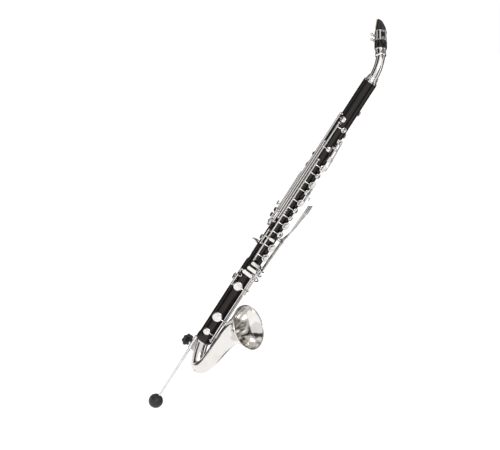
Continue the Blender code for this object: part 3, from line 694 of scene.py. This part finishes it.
def sliverKey():
    line = (78, keySizes["line"])
    posts = (0.4100, 0.4440)
    hingeLine("sliverRod", "sliver_key_rod", *line, posts)
    metal, pad = Shape(), Shape()
    addTube(metal, line, spans(posts)[0])
    addCup(metal, pad, 108, 0.434, 0.0066)
    addArm(metal, *line, 108, 0.434)
    metal.rod([at(*line, 0.4235), at(74, 0.0282, 0.4235), at(46, 0.0290, 0.4235)], keySizes["arm"])
    addTouch(metal, 32, 0.0285, 0.4235, 0.0150, 0.0070)
    finishKey("sliverKey", "sliver_key", metal, pad)


# Register, thumb and left side keys


def registerKeys():
    line = (-112, keySizes["line"])
    posts = (0.0648, 0.2185)
    hingeLine("registerRod", "register_rod", *line, posts)
    upper, lower = spans(posts, (0.1290,))
    metal, pad = Shape(), Shape()
    addTube(metal, line, upper)
    addCup(metal, pad, -74, 0.075, 0.0062)
    addArm(metal, *line, -74, 0.075)
    finishKey("upperRegisterKey", "upper_register_key", metal, pad)
    metal, pad = Shape(), Shape()
    addTube(metal, line, lower)
    addCup(metal, pad, -74, 0.1355, 0.0062)
    addArm(metal, *line, -74, 0.1355)
    metal.rod(sweep((*line, 0.2080), (-168, 0.0262, 0.2080), 12, 0.0010), keySizes["bar"])
    addTouch(metal, -176, 0.0262, 0.2080, 0.0150, 0.0100)
    finishKey("registerKey", "register_key", metal, pad)


def thumbKey():
    line = (-122, keySizes["line"])
    posts = (0.2240, 0.2660)
    hingeLine("thumbRod", "thumb_key_rod", *line, posts)
    metal, pad = Shape(), Shape()
    addTube(metal, line, spans(posts)[0])
    cups = ((-180, 0.2365, 0.0088, True), (-172, 0.2540, 0.0058, False))
    for angle, depth, radius, dished in cups:
        addCup(metal, pad, angle, depth, radius, dished)
        addArm(metal, *line, angle, depth)
    finishKey("thumbKey", "thumb_key", metal, pad, line, -keySizes["opening"])


def cSharpKey():
    line = (-64, keySizes["line"])
    posts = (0.2810, 0.3190)
    hingeLine("cSharpRod", "c_sharp_key_rod", *line, posts)
    metal, pad = Shape(), Shape()
    addTube(metal, line, spans(posts)[0])
    addCup(metal, pad, -97, 0.2915, 0.0066)
    addArm(metal, *line, -97, 0.2915)
    arm = [at(*line, 0.3010), at(-60, 0.0278, 0.3010), at(-48, 0.0283, 0.3010)]
    metal.rod(arm, keySizes["arm"])
    addTouch(metal, -42, 0.0283, 0.3010, 0.0120, 0.0085)
    finishKey("cSharpKey", "c_sharp_key", metal, pad)


# Throat keys

# Angle, depth of hole, pivot and touch, and the touch's width and length.
throatKeys = {
    "a_key": (3, 0.150, 0.1690, 0.1960, (0.0110, 0.0150)),
    "g_sharp_key": (-42, 0.153, 0.1740, 0.2120, (0.0085, 0.0300)),
}
throatSizes = {
    "cup": 0.0057,
    "pivotRadius": 0.0218,
    "pin": 0.0010,
    "hub": 0.0023,
    "standOff": 0.0044,
}


def makeThroatKeys():
    pivotRadius = throatSizes["pivotRadius"]
    for node, (angle, holeDepth, pivotDepth, touchDepth, touchSize) in throatKeys.items():
        centre = at(angle, pivotRadius, pivotDepth)
        turned = facingOut(angle, pivotRadius, pivotDepth).to_3x3()
        across = turned @ Vector((0, 1, 0))
        out = turned @ Vector((0, 0, 1))
        saddle = Shape()
        saddle.rod([centre - across * 0.0054, centre + across * 0.0054], throatSizes["pin"])
        foot = woodRadius(pivotDepth) + woodSizes["gap"]
        for side in (-1, 1):
            stand = centre + across * side * throatSizes["standOff"]
            saddle.rod([stand - out * (pivotRadius - foot - 0.0002), stand], 0.0011)
            saddle.ball(stand, 0.0019)
        outline = roundedOutline(0.0060, 0.0124, 0.002)
        saddle.slab(outline, 0.0012, facingOut(angle, foot + 0.0006, pivotDepth), 0.0003)
        settle(saddle.make(camel(node) + "Saddle", silver), "instrument", "steel", node + "_pin")
        metal, pad = Shape(), Shape()
        metal.rod([centre - across * 0.0026, centre + across * 0.0026], throatSizes["hub"], 24)
        top = seatRadius(holeDepth) + keySizes["cupHeight"] - 0.0012
        bar = [
            at(angle, top, holeDepth),
            at(angle, 0.0220, pivotDepth - 0.004),
            at(angle, 0.0228, pivotDepth + 0.004),
            at(angle, 0.0246, touchDepth),
        ]
        metal.rod(smoothed(bar, 5), 0.0015)
        addCup(metal, pad, angle, holeDepth, throatSizes["cup"])
        addTouch(metal, angle, 0.0250, touchDepth, *touchSize)
        finishKey(camel(node), node, metal, pad)


# Right little finger keys and left little finger levers

# Hinge angle, posts, then the cup's, the touch's, the tail's and the bridge's places.
lowBridge = (16, 0.0298)
littleKeys = {
    "f_key": (
        -16, (0.4953, 0.5700), (52, 0.560, 0.0108), (34, 0.4935), (-42, 0.0334, 0.5045), lowBridge
    ),
    "e_key": (
        -3.5, (0.5065, 0.6600), (55, 0.649, 0.0117), (38, 0.5075), (-57, 0.0344, 0.5170), lowBridge
    ),
    "e_flat_key": (
        9, (0.5195, 0.7070), (60, 0.692, 0.0085), (46, 0.5210), (-72, 0.0356, 0.5300), None
    ),
}


def makeLittleKeys():
    for node, (angle, posts, hole, touchPlace, tail, over) in littleKeys.items():
        line = (angle, keySizes["lowLine"])
        hingeLine(camel(node) + "Rod", node + "_rod", *line, posts)
        metal, pad = Shape(), Shape()
        span = spans(posts)[0]
        addTube(metal, line, span)
        addCup(metal, pad, *hole)
        addArm(metal, *line, hole[0], hole[1], over)
        touchAngle, touchDepth = touchPlace
        start = (*line, span[0] + 0.0018)
        metal.rod(sweep(start, (touchAngle - 6, 0.0301, touchDepth), 10, 0.0016), keySizes["bar"])
        back = [at(*line, tail[2]), at(line[0] - 6, 0.0302, tail[2])]
        back += sweep((line[0] - 12, 0.0306, tail[2]), tail, 6)
        metal.rod(back, keySizes["arm"])
        addTouch(metal, touchAngle, 0.0305, touchDepth, 0.0270, 0.0088, -6)
        finishKey(camel(node), node, metal, pad, line, keySizes["opening"])


def aFlatKey():
    line = (88, keySizes["lowLine"])
    posts = (0.5230, 0.5640)
    hingeLine("aFlatRod", "a_flat_key_rod", *line, posts)
    metal, pad = Shape(), Shape()
    addTube(metal, line, spans(posts)[0])
    addCup(metal, pad, 122, 0.5480, 0.0085)
    addArm(metal, *line, 122, 0.5480)
    metal.rod([at(*line, 0.5330), at(85, 0.0296, 0.5330), at(78, 0.0298, 0.5330)], keySizes["arm"])
    addTouch(metal, 72, 0.0298, 0.5330, 0.0130, 0.0085)
    finishKey("aFlatKey", "a_flat_key", metal, pad)


leverSizes = {"angle": -56, "radius": 0.0290, "depth": 0.4210, "pitch": 0.0080, "halfRod": 0.0150}
levers = {
    "left_f_lever": (0.0870, 0.0050),
    "left_e_lever": (0.0995, 0.0110),
    "left_e_flat_lever": (0.1125, 0.0165),
}


def makeLevers():
    placing = facingOut(leverSizes["angle"], leverSizes["radius"], leverSizes["depth"])
    ends = [placing @ Vector((0, side * leverSizes["halfRod"], 0)) for side in (-1, 1)]
    shape = Shape()
    shape.rod(ends, keySizes["rod"])
    for end in ends:
        outward = Vector((end.x, end.y - axisY, 0))
        angle = math.degrees(math.atan2(-outward.x, -outward.y))
        addPost(shape, angle, outward.length, leverSizes["depth"])
    settle(shape.make("leverRod", silver), "instrument", "steel", "left_lever_rod")
    for index, (node, (foot, height)) in enumerate(levers.items()):
        aside = (index - 1) * leverSizes["pitch"]
        half = leverSizes["pitch"] / 2 - 0.0002
        spread = aside * 1.30
        metal = Shape()
        hub = [placing @ Vector((0, aside - half, 0)), placing @ Vector((0, aside + half, 0))]
        metal.rod(hub, 0.0026, 24)
        bar = [
            (foot, aside, -0.0025),
            (0.0500, aside, -0.0010),
            (0.0060, aside, 0.0006),
            (-0.0060, aside, 0.0010),
            (-0.0300, aside, 0.4 * height + 0.002),
            (-0.0860, spread, height),
        ]
        metal.rod(smoothed([placing @ Vector(point) for point in bar], 5), keySizes["bar"])
        tip = placing @ Matrix.Translation((-0.0940, spread, height + 0.0008))
        metal.slab(roundedOutline(0.0260, 0.0082, 0.0039), 0.0020, tip, 0.0006, 0.0001)
        finishKey(camel(node), node, metal, Shape())


# Neck, mouthpiece, reed and ligature

neckSizes = {
    "lean": 42.5,
    "endBack": 0.0165,
    "endUp": 0.0615,
    "tube": 0.0102,
    "foot": 0.0104,
    "tenon": 0.0240,
    "straight": 0.0145,
    "receiver": 0.0121,
    "receiverLength": 0.0172,
}
lean = math.radians(neckSizes["lean"])
reedSide = Vector((0, math.cos(lean), -math.sin(lean)))
alongMouth = Vector((0, math.sin(lean), math.cos(lean)))
mouthFrame = Matrix((Vector((-1, 0, 0)), -reedSide, alongMouth)).transposed().to_4x4()
mouthFrame.translation = Vector((0, axisY + neckSizes["endBack"], topZ + neckSizes["endUp"]))


def neck():
    tube = neckSizes["tube"]
    bend = (
        (0, neckSizes["straight"]),
        (0.0003, 0.0190),
        (0.0013, 0.0255),
        (0.0032, 0.0335),
        (0.0062, 0.0425),
        (0.0104, 0.0515),
        (neckSizes["endBack"] - 0.0012, neckSizes["endUp"] - 0.0014),
    )
    points = [Vector((0, axisY + back, topZ + up)) for back, up in bend]
    points.append(mouthFrame.translation + alongMouth * 0.003)
    shape = Shape()
    start = Vector((0, axisY, topZ - neckSizes["tenon"]))
    shape.rod([start, Vector((0, axisY, topZ + neckSizes["straight"]))], neckSizes["foot"], 64)
    shape.rod(smoothed(points, 6), tube, 64)
    outer = neckSizes["receiver"]
    length = neckSizes["receiverLength"]
    receiver = [
        (outer - 0.0010, length - 0.0002),
        (outer + 0.0004, length),
        (outer + 0.0011, length - 0.0005),
        (outer + 0.0011, length - 0.0014),
        (outer + 0.0002, length - 0.0021),
        (outer, length - 0.0026),
        (outer, 0.0032),
        (outer + 0.0005, 0.0026),
        (outer + 0.0009, 0.0017),
        (outer + 0.0006, 0.0007),
        (outer - 0.0002, 0.0001),
        (tube, -0.0014),
        (0, -0.0014),
        (0, 0.004),
        (outer - 0.0010, 0.004),
    ]
    shape.lathe(receiver, mouthFrame, 64, ring=True)
    collar = [
        (0, 0.0158),
        (0.0108, 0.0158),
        (0.0120, 0.0156),
        (0.0125, 0.0148),
        (0.0122, 0.0139),
        (0.0118, 0.0130),
        (0.0120, 0.0121),
        (0.0131, 0.0112),
        (0.0134, 0.0103),
        (0.0131, 0.0094),
        (0.0126, 0.0086),
        (0.0127, 0.0079),
        (0.0134, 0.0070),
        (0.0139, 0.0060),
        (0.0139, 0.0034),
        (0.0136, 0.0032),
        (0, 0.0032),
    ]
    shape.lathe(collar, Matrix.Translation((0, axisY, topZ)), 64)
    settle(shape.make("neckTube", silver), "neck_assembly", "silver_plate", "neck")
    ring = Shape()
    plate = [
        (0.0165, 0.0026),
        (0.0163, 0.0028),
        (0.0112, 0.0028),
        (0.0112, 0.0004),
        (0.0163, 0.0004),
        (0.0165, 0.0006),
    ]
    ring.lathe(plate, Matrix.Translation((0, axisY, topZ)), 64, ring=True)
    settle(ring.make("ferrule", silver), "instrument", "silver_plate", "top_ferrule")


mouthSizes = {
    "start": 0.0177,
    "band": 0.017,
    "ligature": 0.026,
    "end": 0.0925,
    "shank": 0.0144,
    "waist": 0.0126,
    "tableStart": 0.0352,
    "beakSlope": 0.5095,
}


def tableHeight(along):
    return -0.0090 + (along - 0.058) * math.tan(math.radians(6))


def beakSection(along, radius, sides=72):
    # A round section flattened by the table and by the slope of the beak.
    slope = 0.0051 - (along - 0.0774) * mouthSizes["beakSlope"]
    low = tableHeight(along) if along > mouthSizes["tableStart"] else -1
    points = []
    for step in range(sides):
        turn = 2 * math.pi * step / sides
        across = radius * math.cos(turn)
        height = min(max(radius * math.sin(turn), low), slope)
        points.append(mouthFrame @ Vector((across, height, along)))
    return points


def mouthpiece():
    start = mouthSizes["start"]
    bandEnd = start + mouthSizes["band"]
    waistEnd = bandEnd + mouthSizes["ligature"]
    stations = [
        (start - 0.0100, 0.0098),
        (start, 0.0098),
        (start + 0.0001, mouthSizes["shank"] - 0.0010),
        (start + 0.0008, mouthSizes["shank"] - 0.0002),
        (start + 0.0018, mouthSizes["shank"]),
        (bandEnd - 0.0018, mouthSizes["shank"]),
        (bandEnd - 0.0006, mouthSizes["shank"] - 0.0003),
        (bandEnd, mouthSizes["shank"] - 0.0010),
        (bandEnd + 0.0004, mouthSizes["waist"]),
        (waistEnd, mouthSizes["waist"] - 0.0001),
    ]
    steps = 22
    for step in range(1, steps + 1):
        share = step / steps
        along = waistEnd + share * (mouthSizes["end"] - waistEnd)
        radius = mouthSizes["waist"] - 0.0052 * share**1.25
        if share > 0.93:
            radius -= 0.0012 * (share - 0.93) / 0.07
        stations.append((along, radius))
    shape = Shape()
    shape.rows([beakSection(along, radius) for along, radius in stations])
    settle(shape.make("mouthpieceBody", ebonite, 28), "neck_assembly", "ebonite", "mouthpiece")


def reed():
    heel = mouthSizes["start"] + mouthSizes["band"] + 0.0012
    tip = mouthSizes["end"] - 0.0005
    halfWidth = 0.0070
    sections = []
    for step in range(25):
        along = heel + (tip - heel) * step / 24
        inner = tableHeight(along) - 0.0003
        vamp = -0.0065 - (mouthSizes["end"] - along) * 0.2035
        section = []
        for corner in range(9):
            across = halfWidth * (1 - corner / 4)
            outer = -math.sqrt(max(mouthSizes["waist"] ** 2 - across**2, 0)) + 0.0001
            outer = min(max(outer, vamp), inner - 0.0004)
            section.append(mouthFrame @ Vector((across, outer, along)))
        section.append(mouthFrame @ Vector((-halfWidth, inner, along)))
        section.append(mouthFrame @ Vector((halfWidth, inner, along)))
        sections.append(section)
    shape = Shape()
    shape.rows(sections)
    settle(shape.make("reedBlade", cane, 25), "neck_assembly", "cane", "reed")


def addBand(shape, startAngle, endAngle, low, high, inner, outer, steps):
    # Part of a round band in the mouthpiece's frame.
    sections = []
    for step in range(steps + 1):
        turn = math.radians(startAngle + (endAngle - startAngle) * step / steps)
        around = Vector((math.cos(turn), math.sin(turn), 0))
        corners = ((inner, low), (outer, low), (outer, high), (inner, high))
        section = [around * radius + Vector((0, 0, height)) for radius, height in corners]
        sections.append([mouthFrame @ point for point in section])
    shape.rows(sections)


def ligature():
    low = mouthSizes["start"] + mouthSizes["band"] + 0.0012
    high = low + mouthSizes["ligature"] - 0.0015
    inner = mouthSizes["waist"] + 0.0003
    outer = inner + 0.0008
    middle = (low + high) / 2 + 0.0010
    shape = Shape()
    addBand(shape, 0, 360, low, middle - 0.00575, inner, outer, 72)
    addBand(shape, 0, 360, middle + 0.00575, high, inner, outer, 72)
    for first, last in ((79, 101), (143, 397)):
        steps = int((last - first) / 5)
        addBand(shape, first, last, middle - 0.0060, middle + 0.0060, inner, outer, steps)
    bead = roundSection(outer - 0.0002, 0.0005, 6)
    for height in (low + 0.0010, high - 0.0010):
        shape.lathe(bead, mouthFrame @ Matrix.Translation((0, 0, height)), 72, ring=True)
    screwHeights = {"lower": low + 0.0060, "upper": high - 0.0060}
    for along in screwHeights.values():
        for side in (-1, 1):
            ear = mouthFrame @ Matrix.Translation((side * 0.0042, -outer - 0.0016, along))
            ear = ear @ Matrix.Rotation(math.radians(90), 4, "Y")
            shape.slab(roundedOutline(0.0068, 0.0047, 0.0014), 0.0038, ear, 0.0005)
    settle(shape.make("ligatureBand", silver), "neck_assembly", "silver_plate", "ligature")
    for name, along in screwHeights.items():
        centre = Vector((0, -outer - 0.0022, along))
        node = f"ligature_{name}_screw"
        screw = Shape()
        aside = Vector((1, 0, 0))
        ends = (centre - aside * 0.0069, centre + aside * 0.0102)
        screw.rod([mouthFrame @ end for end in ends], 0.0010)
        turn = Matrix.Rotation(math.radians(90), 4, "Y")
        head = [
            (0, 0.0154),
            (0.0026, 0.0154),
            (0.0033, 0.0149),
            (0.0033, 0.0138),
            (0.0028, 0.0133),
            (0.0033, 0.0128),
            (0.0033, 0.0112),
            (0.0027, 0.0104),
            (0.0018, 0.0096),
            (0.0016, 0.0069),
            (0, 0.0069),
        ]
        screw.lathe(head, mouthFrame @ Matrix.Translation(centre) @ turn, 28)
        settle(screw.make(camel(node), silver), node, "silver_plate", node)


# Bell

bellSizes = {"wall": 0.0009, "rim": 0.0516, "rimWire": 0.00148, "sides": 112}
# Stations from the wood round to the rim: forward, depth and radius.
bowRoute = (
    (0, 0.7238, 0.0143),
    (0, 0.7262, 0.0143),
    (0.0045, 0.7370, 0.0145),
    (0.0110, 0.7530, 0.0150),
    (0.0215, 0.7700, 0.0155),
    (0.0292, 0.7748, 0.0158),
    (0.0376, 0.7730, 0.0162),
    (0.0446, 0.7650, 0.0166),
    (0.0490, 0.7540, 0.0172),
    (0.0515, 0.7410, 0.0179),
    (0.0537, 0.7200, 0.0192),
    (0.0566, 0.6930, 0.0213),
    (0.0598, 0.6760, 0.0232),
    (0.0648, 0.6605, 0.0263),
    (0.0716, 0.6480, 0.0306),
    (0.0794, 0.6375, 0.0362),
    (0.0872, 0.6284, 0.0430),
    (0.0934, 0.6214, 0.0490),
    (0.0968, 0.6178, 0.0520),
)


def bell():
    stations = [Vector((forward, depth, radius)) for forward, depth, radius in bowRoute]
    fine = smoothed(stations, 5)
    points = [Vector((0, axisY - s.x, topZ - s.y)) for s in fine]
    outer = [s.z for s in fine]
    inner = [s.z - bellSizes["wall"] for s in fine]
    shape = Shape()
    shape.rod(points, outer, bellSizes["sides"], caps=False)
    shape.rod(points, inner, bellSizes["sides"], caps=False)
    facing = (points[-1] - points[-2]).normalized()
    rimPlace = facing.to_track_quat("Z", "Y").to_matrix().to_4x4()
    rimPlace.translation = points[-1]
    bead = roundSection(bellSizes["rim"], bellSizes["rimWire"])
    shape.lathe(bead, rimPlace, bellSizes["sides"], ring=True)
    collar = [
        (0.0126, -0.7000),
        (0.0126, -0.7226),
        (0.0160, -0.7226),
        (0.0164, -0.7229),
        (0.0164, -0.7240),
        (0.0158, -0.7244),
        (0.0158, -0.7250),
        (0.0163, -0.7254),
        (0.0163, -0.7260),
        (0.0148, -0.7266),
        (0.0138, -0.7267),
        (0.0117, -0.7250),
        (0.0117, -0.7000),
    ]
    shape.lathe(collar, Matrix.Translation((0, axisY, topZ)), 80, ring=True)
    settle(shape.make("bellTube", silver), "instrument", "silver_plate", "bell")


# Floor peg

pegSizes = {
    "back": 0.0239,
    "radius": 0.0033,
    "top": 0.7121,
    "ballDepth": 0.9166,
    "ball": 0.0175,
    "knobDepth": 0.7500,
    "knobBack": 0.0215,
    "travel": 0.03,
}


def floorPeg():
    back = pegSizes["back"]

    def down(depth, aside=0.0):
        return Vector((0, axisY + back + aside, topZ - depth))

    rod = Shape()
    size = pegSizes["radius"]
    top = pegSizes["top"]
    ends = [down(top), down(top + 0.0005), down(pegSizes["ballDepth"] - 0.008)]
    rod.rod(ends, [size - 0.0005, size, size], 32)
    settle(rod.make("pegRod", steel), "peg", "steel", "peg_rod")
    tip = Shape()
    ballRadius = pegSizes["ball"] - 0.0001
    profile = [(size + 0.0001, 0.0160)]
    for step in range(1, 33):
        turn = math.radians(12 + 168 * step / 32)
        profile.append((ballRadius * math.sin(turn), ballRadius * math.cos(turn)))
    profile[-1] = (0, -ballRadius)
    tip.lathe(profile, Matrix.Translation(down(pegSizes["ballDepth"])), 64)
    settle(tip.make("pegBall", rubber), "peg", "black_rubber", "peg_ball")
    knobCentre = down(pegSizes["knobDepth"], pegSizes["knobBack"])
    face = Matrix.Rotation(math.radians(-90), 4, "X")
    face.translation = knobCentre
    outline = []
    for step in range(84):
        turn = 2 * math.pi * step / 84
        reach = 0.0154 - 0.0026 * (1 - math.cos(7 * turn)) / 2
        outline.append((reach * math.cos(turn), reach * math.sin(turn)))
    knob = Shape()
    knob.slab(outline, 0.0073, face, 0.0013, 0.0001)
    knob.rod([down(pegSizes["knobDepth"], 0.0101), knobCentre], [0.0057, 0.0060], 32)
    settle(knob.make("pegKnob", rubber), "peg_knob", "black_rubber", "peg_knob")
    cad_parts["peg_holder"].data.materials.clear()
    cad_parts["peg_holder"].data.materials.append(silver)


# Strap ring and thumb rest


def backFittings():
    shape = Shape()
    foot = facingOut(180, 0.0180, topZ)
    shape.slab(roundedOutline(0.0298, 0.0098, 0.0047), 0.0021, foot, 0.0004)
    turn = Matrix.Rotation(math.radians(90), 4, "Y")
    shape.lathe(roundSection(0.0058, 0.0014), turn, 48, ring=True)
    shape.rod([at(180, 0.0176, topZ), at(180, 0.0208, topZ)], [0.0032, 0.0020], 24)
    for side in (-1, 1):
        screw = facingOut(180, 0.0190, topZ + side * 0.0108)
        head = [(0, 0.0007), (0.0013, 0.0006), (0.0017, 0.0001), (0.0017, -0.0002)]
        shape.lathe(head, screw, 20)
    settle(shape.make("strapRing", silver), "instrument", "silver_plate", "strap_ring")
    for node in ("thumb_rest", "neck_cork", "mouthpiece_cork", "bell_cork"):
        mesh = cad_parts[node].data
        mesh.materials.clear()
        mesh.materials.append(silver if node == "thumb_rest" else cork)


stackKeys(leftStack, leftPosts, (0.2555, 0.3060), "left_stack_rod")
stackKeys(rightStack, rightPosts, (0.3695, 0.3975, 0.4290), "right_stack_rod")
makeSideKeys()
sliverKey()
registerKeys()
thumbKey()
cSharpKey()
makeThroatKeys()
makeLittleKeys()
aFlatKey()
makeLevers()
print("keywork made")
woodenBody()
neck()
mouthpiece()
reed()
ligature()
bell()
floorPeg()
backFittings()
print("body, bell and peg made")


# Studio

studio = {
    "azimuth": -47.0,
    "elevation": 10.5,
    "distance": 3.55,
    "aimDepth": 0.361,
    "yaw": -0.015316,
    "pitch": -0.018369,
    "roll": 32.678,
    "lens": 110.55,
    "sensor": 36,
    "floorHalf": 40,
}


def levelAxes(forward):
    right = forward.cross(Vector((0, 0, 1))).normalized()
    return right, right.cross(forward)


def camera():
    turn = math.radians(studio["azimuth"])
    rise = math.radians(studio["elevation"])
    level = Vector((math.sin(turn), -math.cos(turn), 0)) * math.cos(rise)
    back = level + Vector((0, 0, math.sin(rise)))
    target = Vector((0, axisY, topZ - studio["aimDepth"]))
    right, up = levelAxes(-back)
    forward = (right * studio["yaw"] + up * studio["pitch"] - back).normalized()
    right, up = levelAxes(forward)
    roll = math.radians(studio["roll"])
    newRight = right * math.cos(roll) + up * math.sin(roll)
    newUp = up * math.cos(roll) - right * math.sin(roll)
    data = bpy.data.cameras.new("camera")
    data.lens = studio["lens"]
    data.sensor_width = studio["sensor"]
    made = bpy.data.objects.new("camera", data)
    bpy.context.scene.collection.objects.link(made)
    placing = Matrix((newRight, newUp, -forward)).transposed().to_4x4()
    placing.translation = target + back * studio["distance"]
    made.matrix_world = placing
    bpy.context.scene.camera = made


def plainRays(tree):
    # 1 for the rays that see the surroundings as plain white.
    names = ("Is Camera Ray", "Is Glossy Ray", "Is Transmission Ray")
    rays = [treeStart(tree).node("ShaderNodeLightPath", {}, {}, name) for name in names]
    return (rays[0] + rays[1] + rays[2]).clipped()


# Cards that only reflections see: middle azimuth and span in degrees, shade, then the
# near and far edges as distance from the object and height.
cards = {
    "rightCard": (4.0, 26.0, 0.015, (1.3, -0.85), (1.3, 1.2)),
    "leftCard": (-108.0, 42.0, 0.015, (1.3, -0.85), (1.3, 1.2)),
    "backCard": (133.0, 170.0, 0.130, (1.3, -0.50), (1.3, 1.4)),
    "lowCard": (133.0, 190.0, 0.080, (0.25, -0.60), (1.3, -0.50)),
    "skyCard": (133.0, 360.0, 0.300, (0.35, 1.40), (0.9, 1.30)),
}


def grayCards():
    for name, (azimuth, span, shade, near, far) in cards.items():
        lighter = (shade * 1.2,) * 3
        paint = plainFinish(name + "Paint", (shade,) * 3, 0.8, 0.0, 9.0, 0.0, lighter)
        shape = Shape()
        steps = 24
        for step in range(steps + 1):
            turn = math.radians(azimuth + span * (step / steps - 0.5))
            outward = Vector((math.sin(turn), -math.cos(turn), 0))
            for distance, height in (near, far):
                shape.points.append(outward * distance + Vector((0, 0, height)))
        for step in range(steps):
            first = 2 * step
            shape.faces.append([first, first + 2, first + 3, first + 1])
        made = shape.make(name, paint)
        made.visible_camera = False
        made.visible_diffuse = False
        made.visible_shadow = False


def floor():
    standing = pegSizes["ballDepth"] + pegSizes["ball"]
    height = topZ - standing - pegSizes["travel"] - 0.0005  # below the peg at its longest
    half = studio["floorHalf"]
    corners = ((-half, -half), (half, -half), (half, half), (-half, half))
    shape = Shape()
    shape.points = [Vector((x, y, height)) for x, y in corners]
    shape.faces = [[0, 1, 2, 3]]
    paint, shader, _ = newFinish("floorPaint", (0.93, 0.93, 0.93), 0.9)
    glow = plainRays(paint.node_tree).blend((0, 0, 0), (0.55, 0.55, 0.55))
    feed(shader, "Emission Color", glow)
    shader.inputs["Emission Strength"].default_value = 1.0
    shape.make("floor", paint)


def surroundings():
    world = bpy.data.worlds.new("studioWorld")
    bpy.context.scene.world = world
    world.use_nodes = True
    tree = world.node_tree
    place = treeStart(tree).node("ShaderNodeTexCoord", {}, {}, "Generated")
    x, y, z = (place.node("ShaderNodeSeparateXYZ", {}, {"Vector": place}, axis) for axis in "XYZ")
    across = x * 6.5 + y * 3.5
    band = across.math("SINE", across, 0.0) * 0.5 + 0.5  # soft boxes with dark gaps between them
    level = (band * 1.15 + z * 0.45 - 0.22).clipped()
    sky = level.blend((0.055, 0.052, 0.050), (0.80, 0.80, 0.81))
    feed(tree.nodes["Background"], "Color", plainRays(tree).blend(sky, (1, 1, 1)))


lamps = {
    # Place, size and power.
    "keyLamp": ((-2.2, -2.6, 2.2), 1.4, 38),
    "fillLamp": ((2.4, -1.6, 1.2), 1.6, 12),
    "rimLamp": ((-1.0, 2.6, 1.8), 1.2, 12),
}


def makeLamps():
    for name, (place, size, power) in lamps.items():
        data = bpy.data.lights.new(name, "AREA")
        data.size = size
        data.energy = power
        made = bpy.data.objects.new(name, data)
        bpy.context.scene.collection.objects.link(made)
        made.location = place
        made.rotation_euler = (-Vector(place)).to_track_quat("-Z", "Y").to_euler()


camera()
floor()
surroundings()
makeLamps()
grayCards()
scene = bpy.context.scene
scene.view_settings.view_transform = "Standard"
print("studio made")
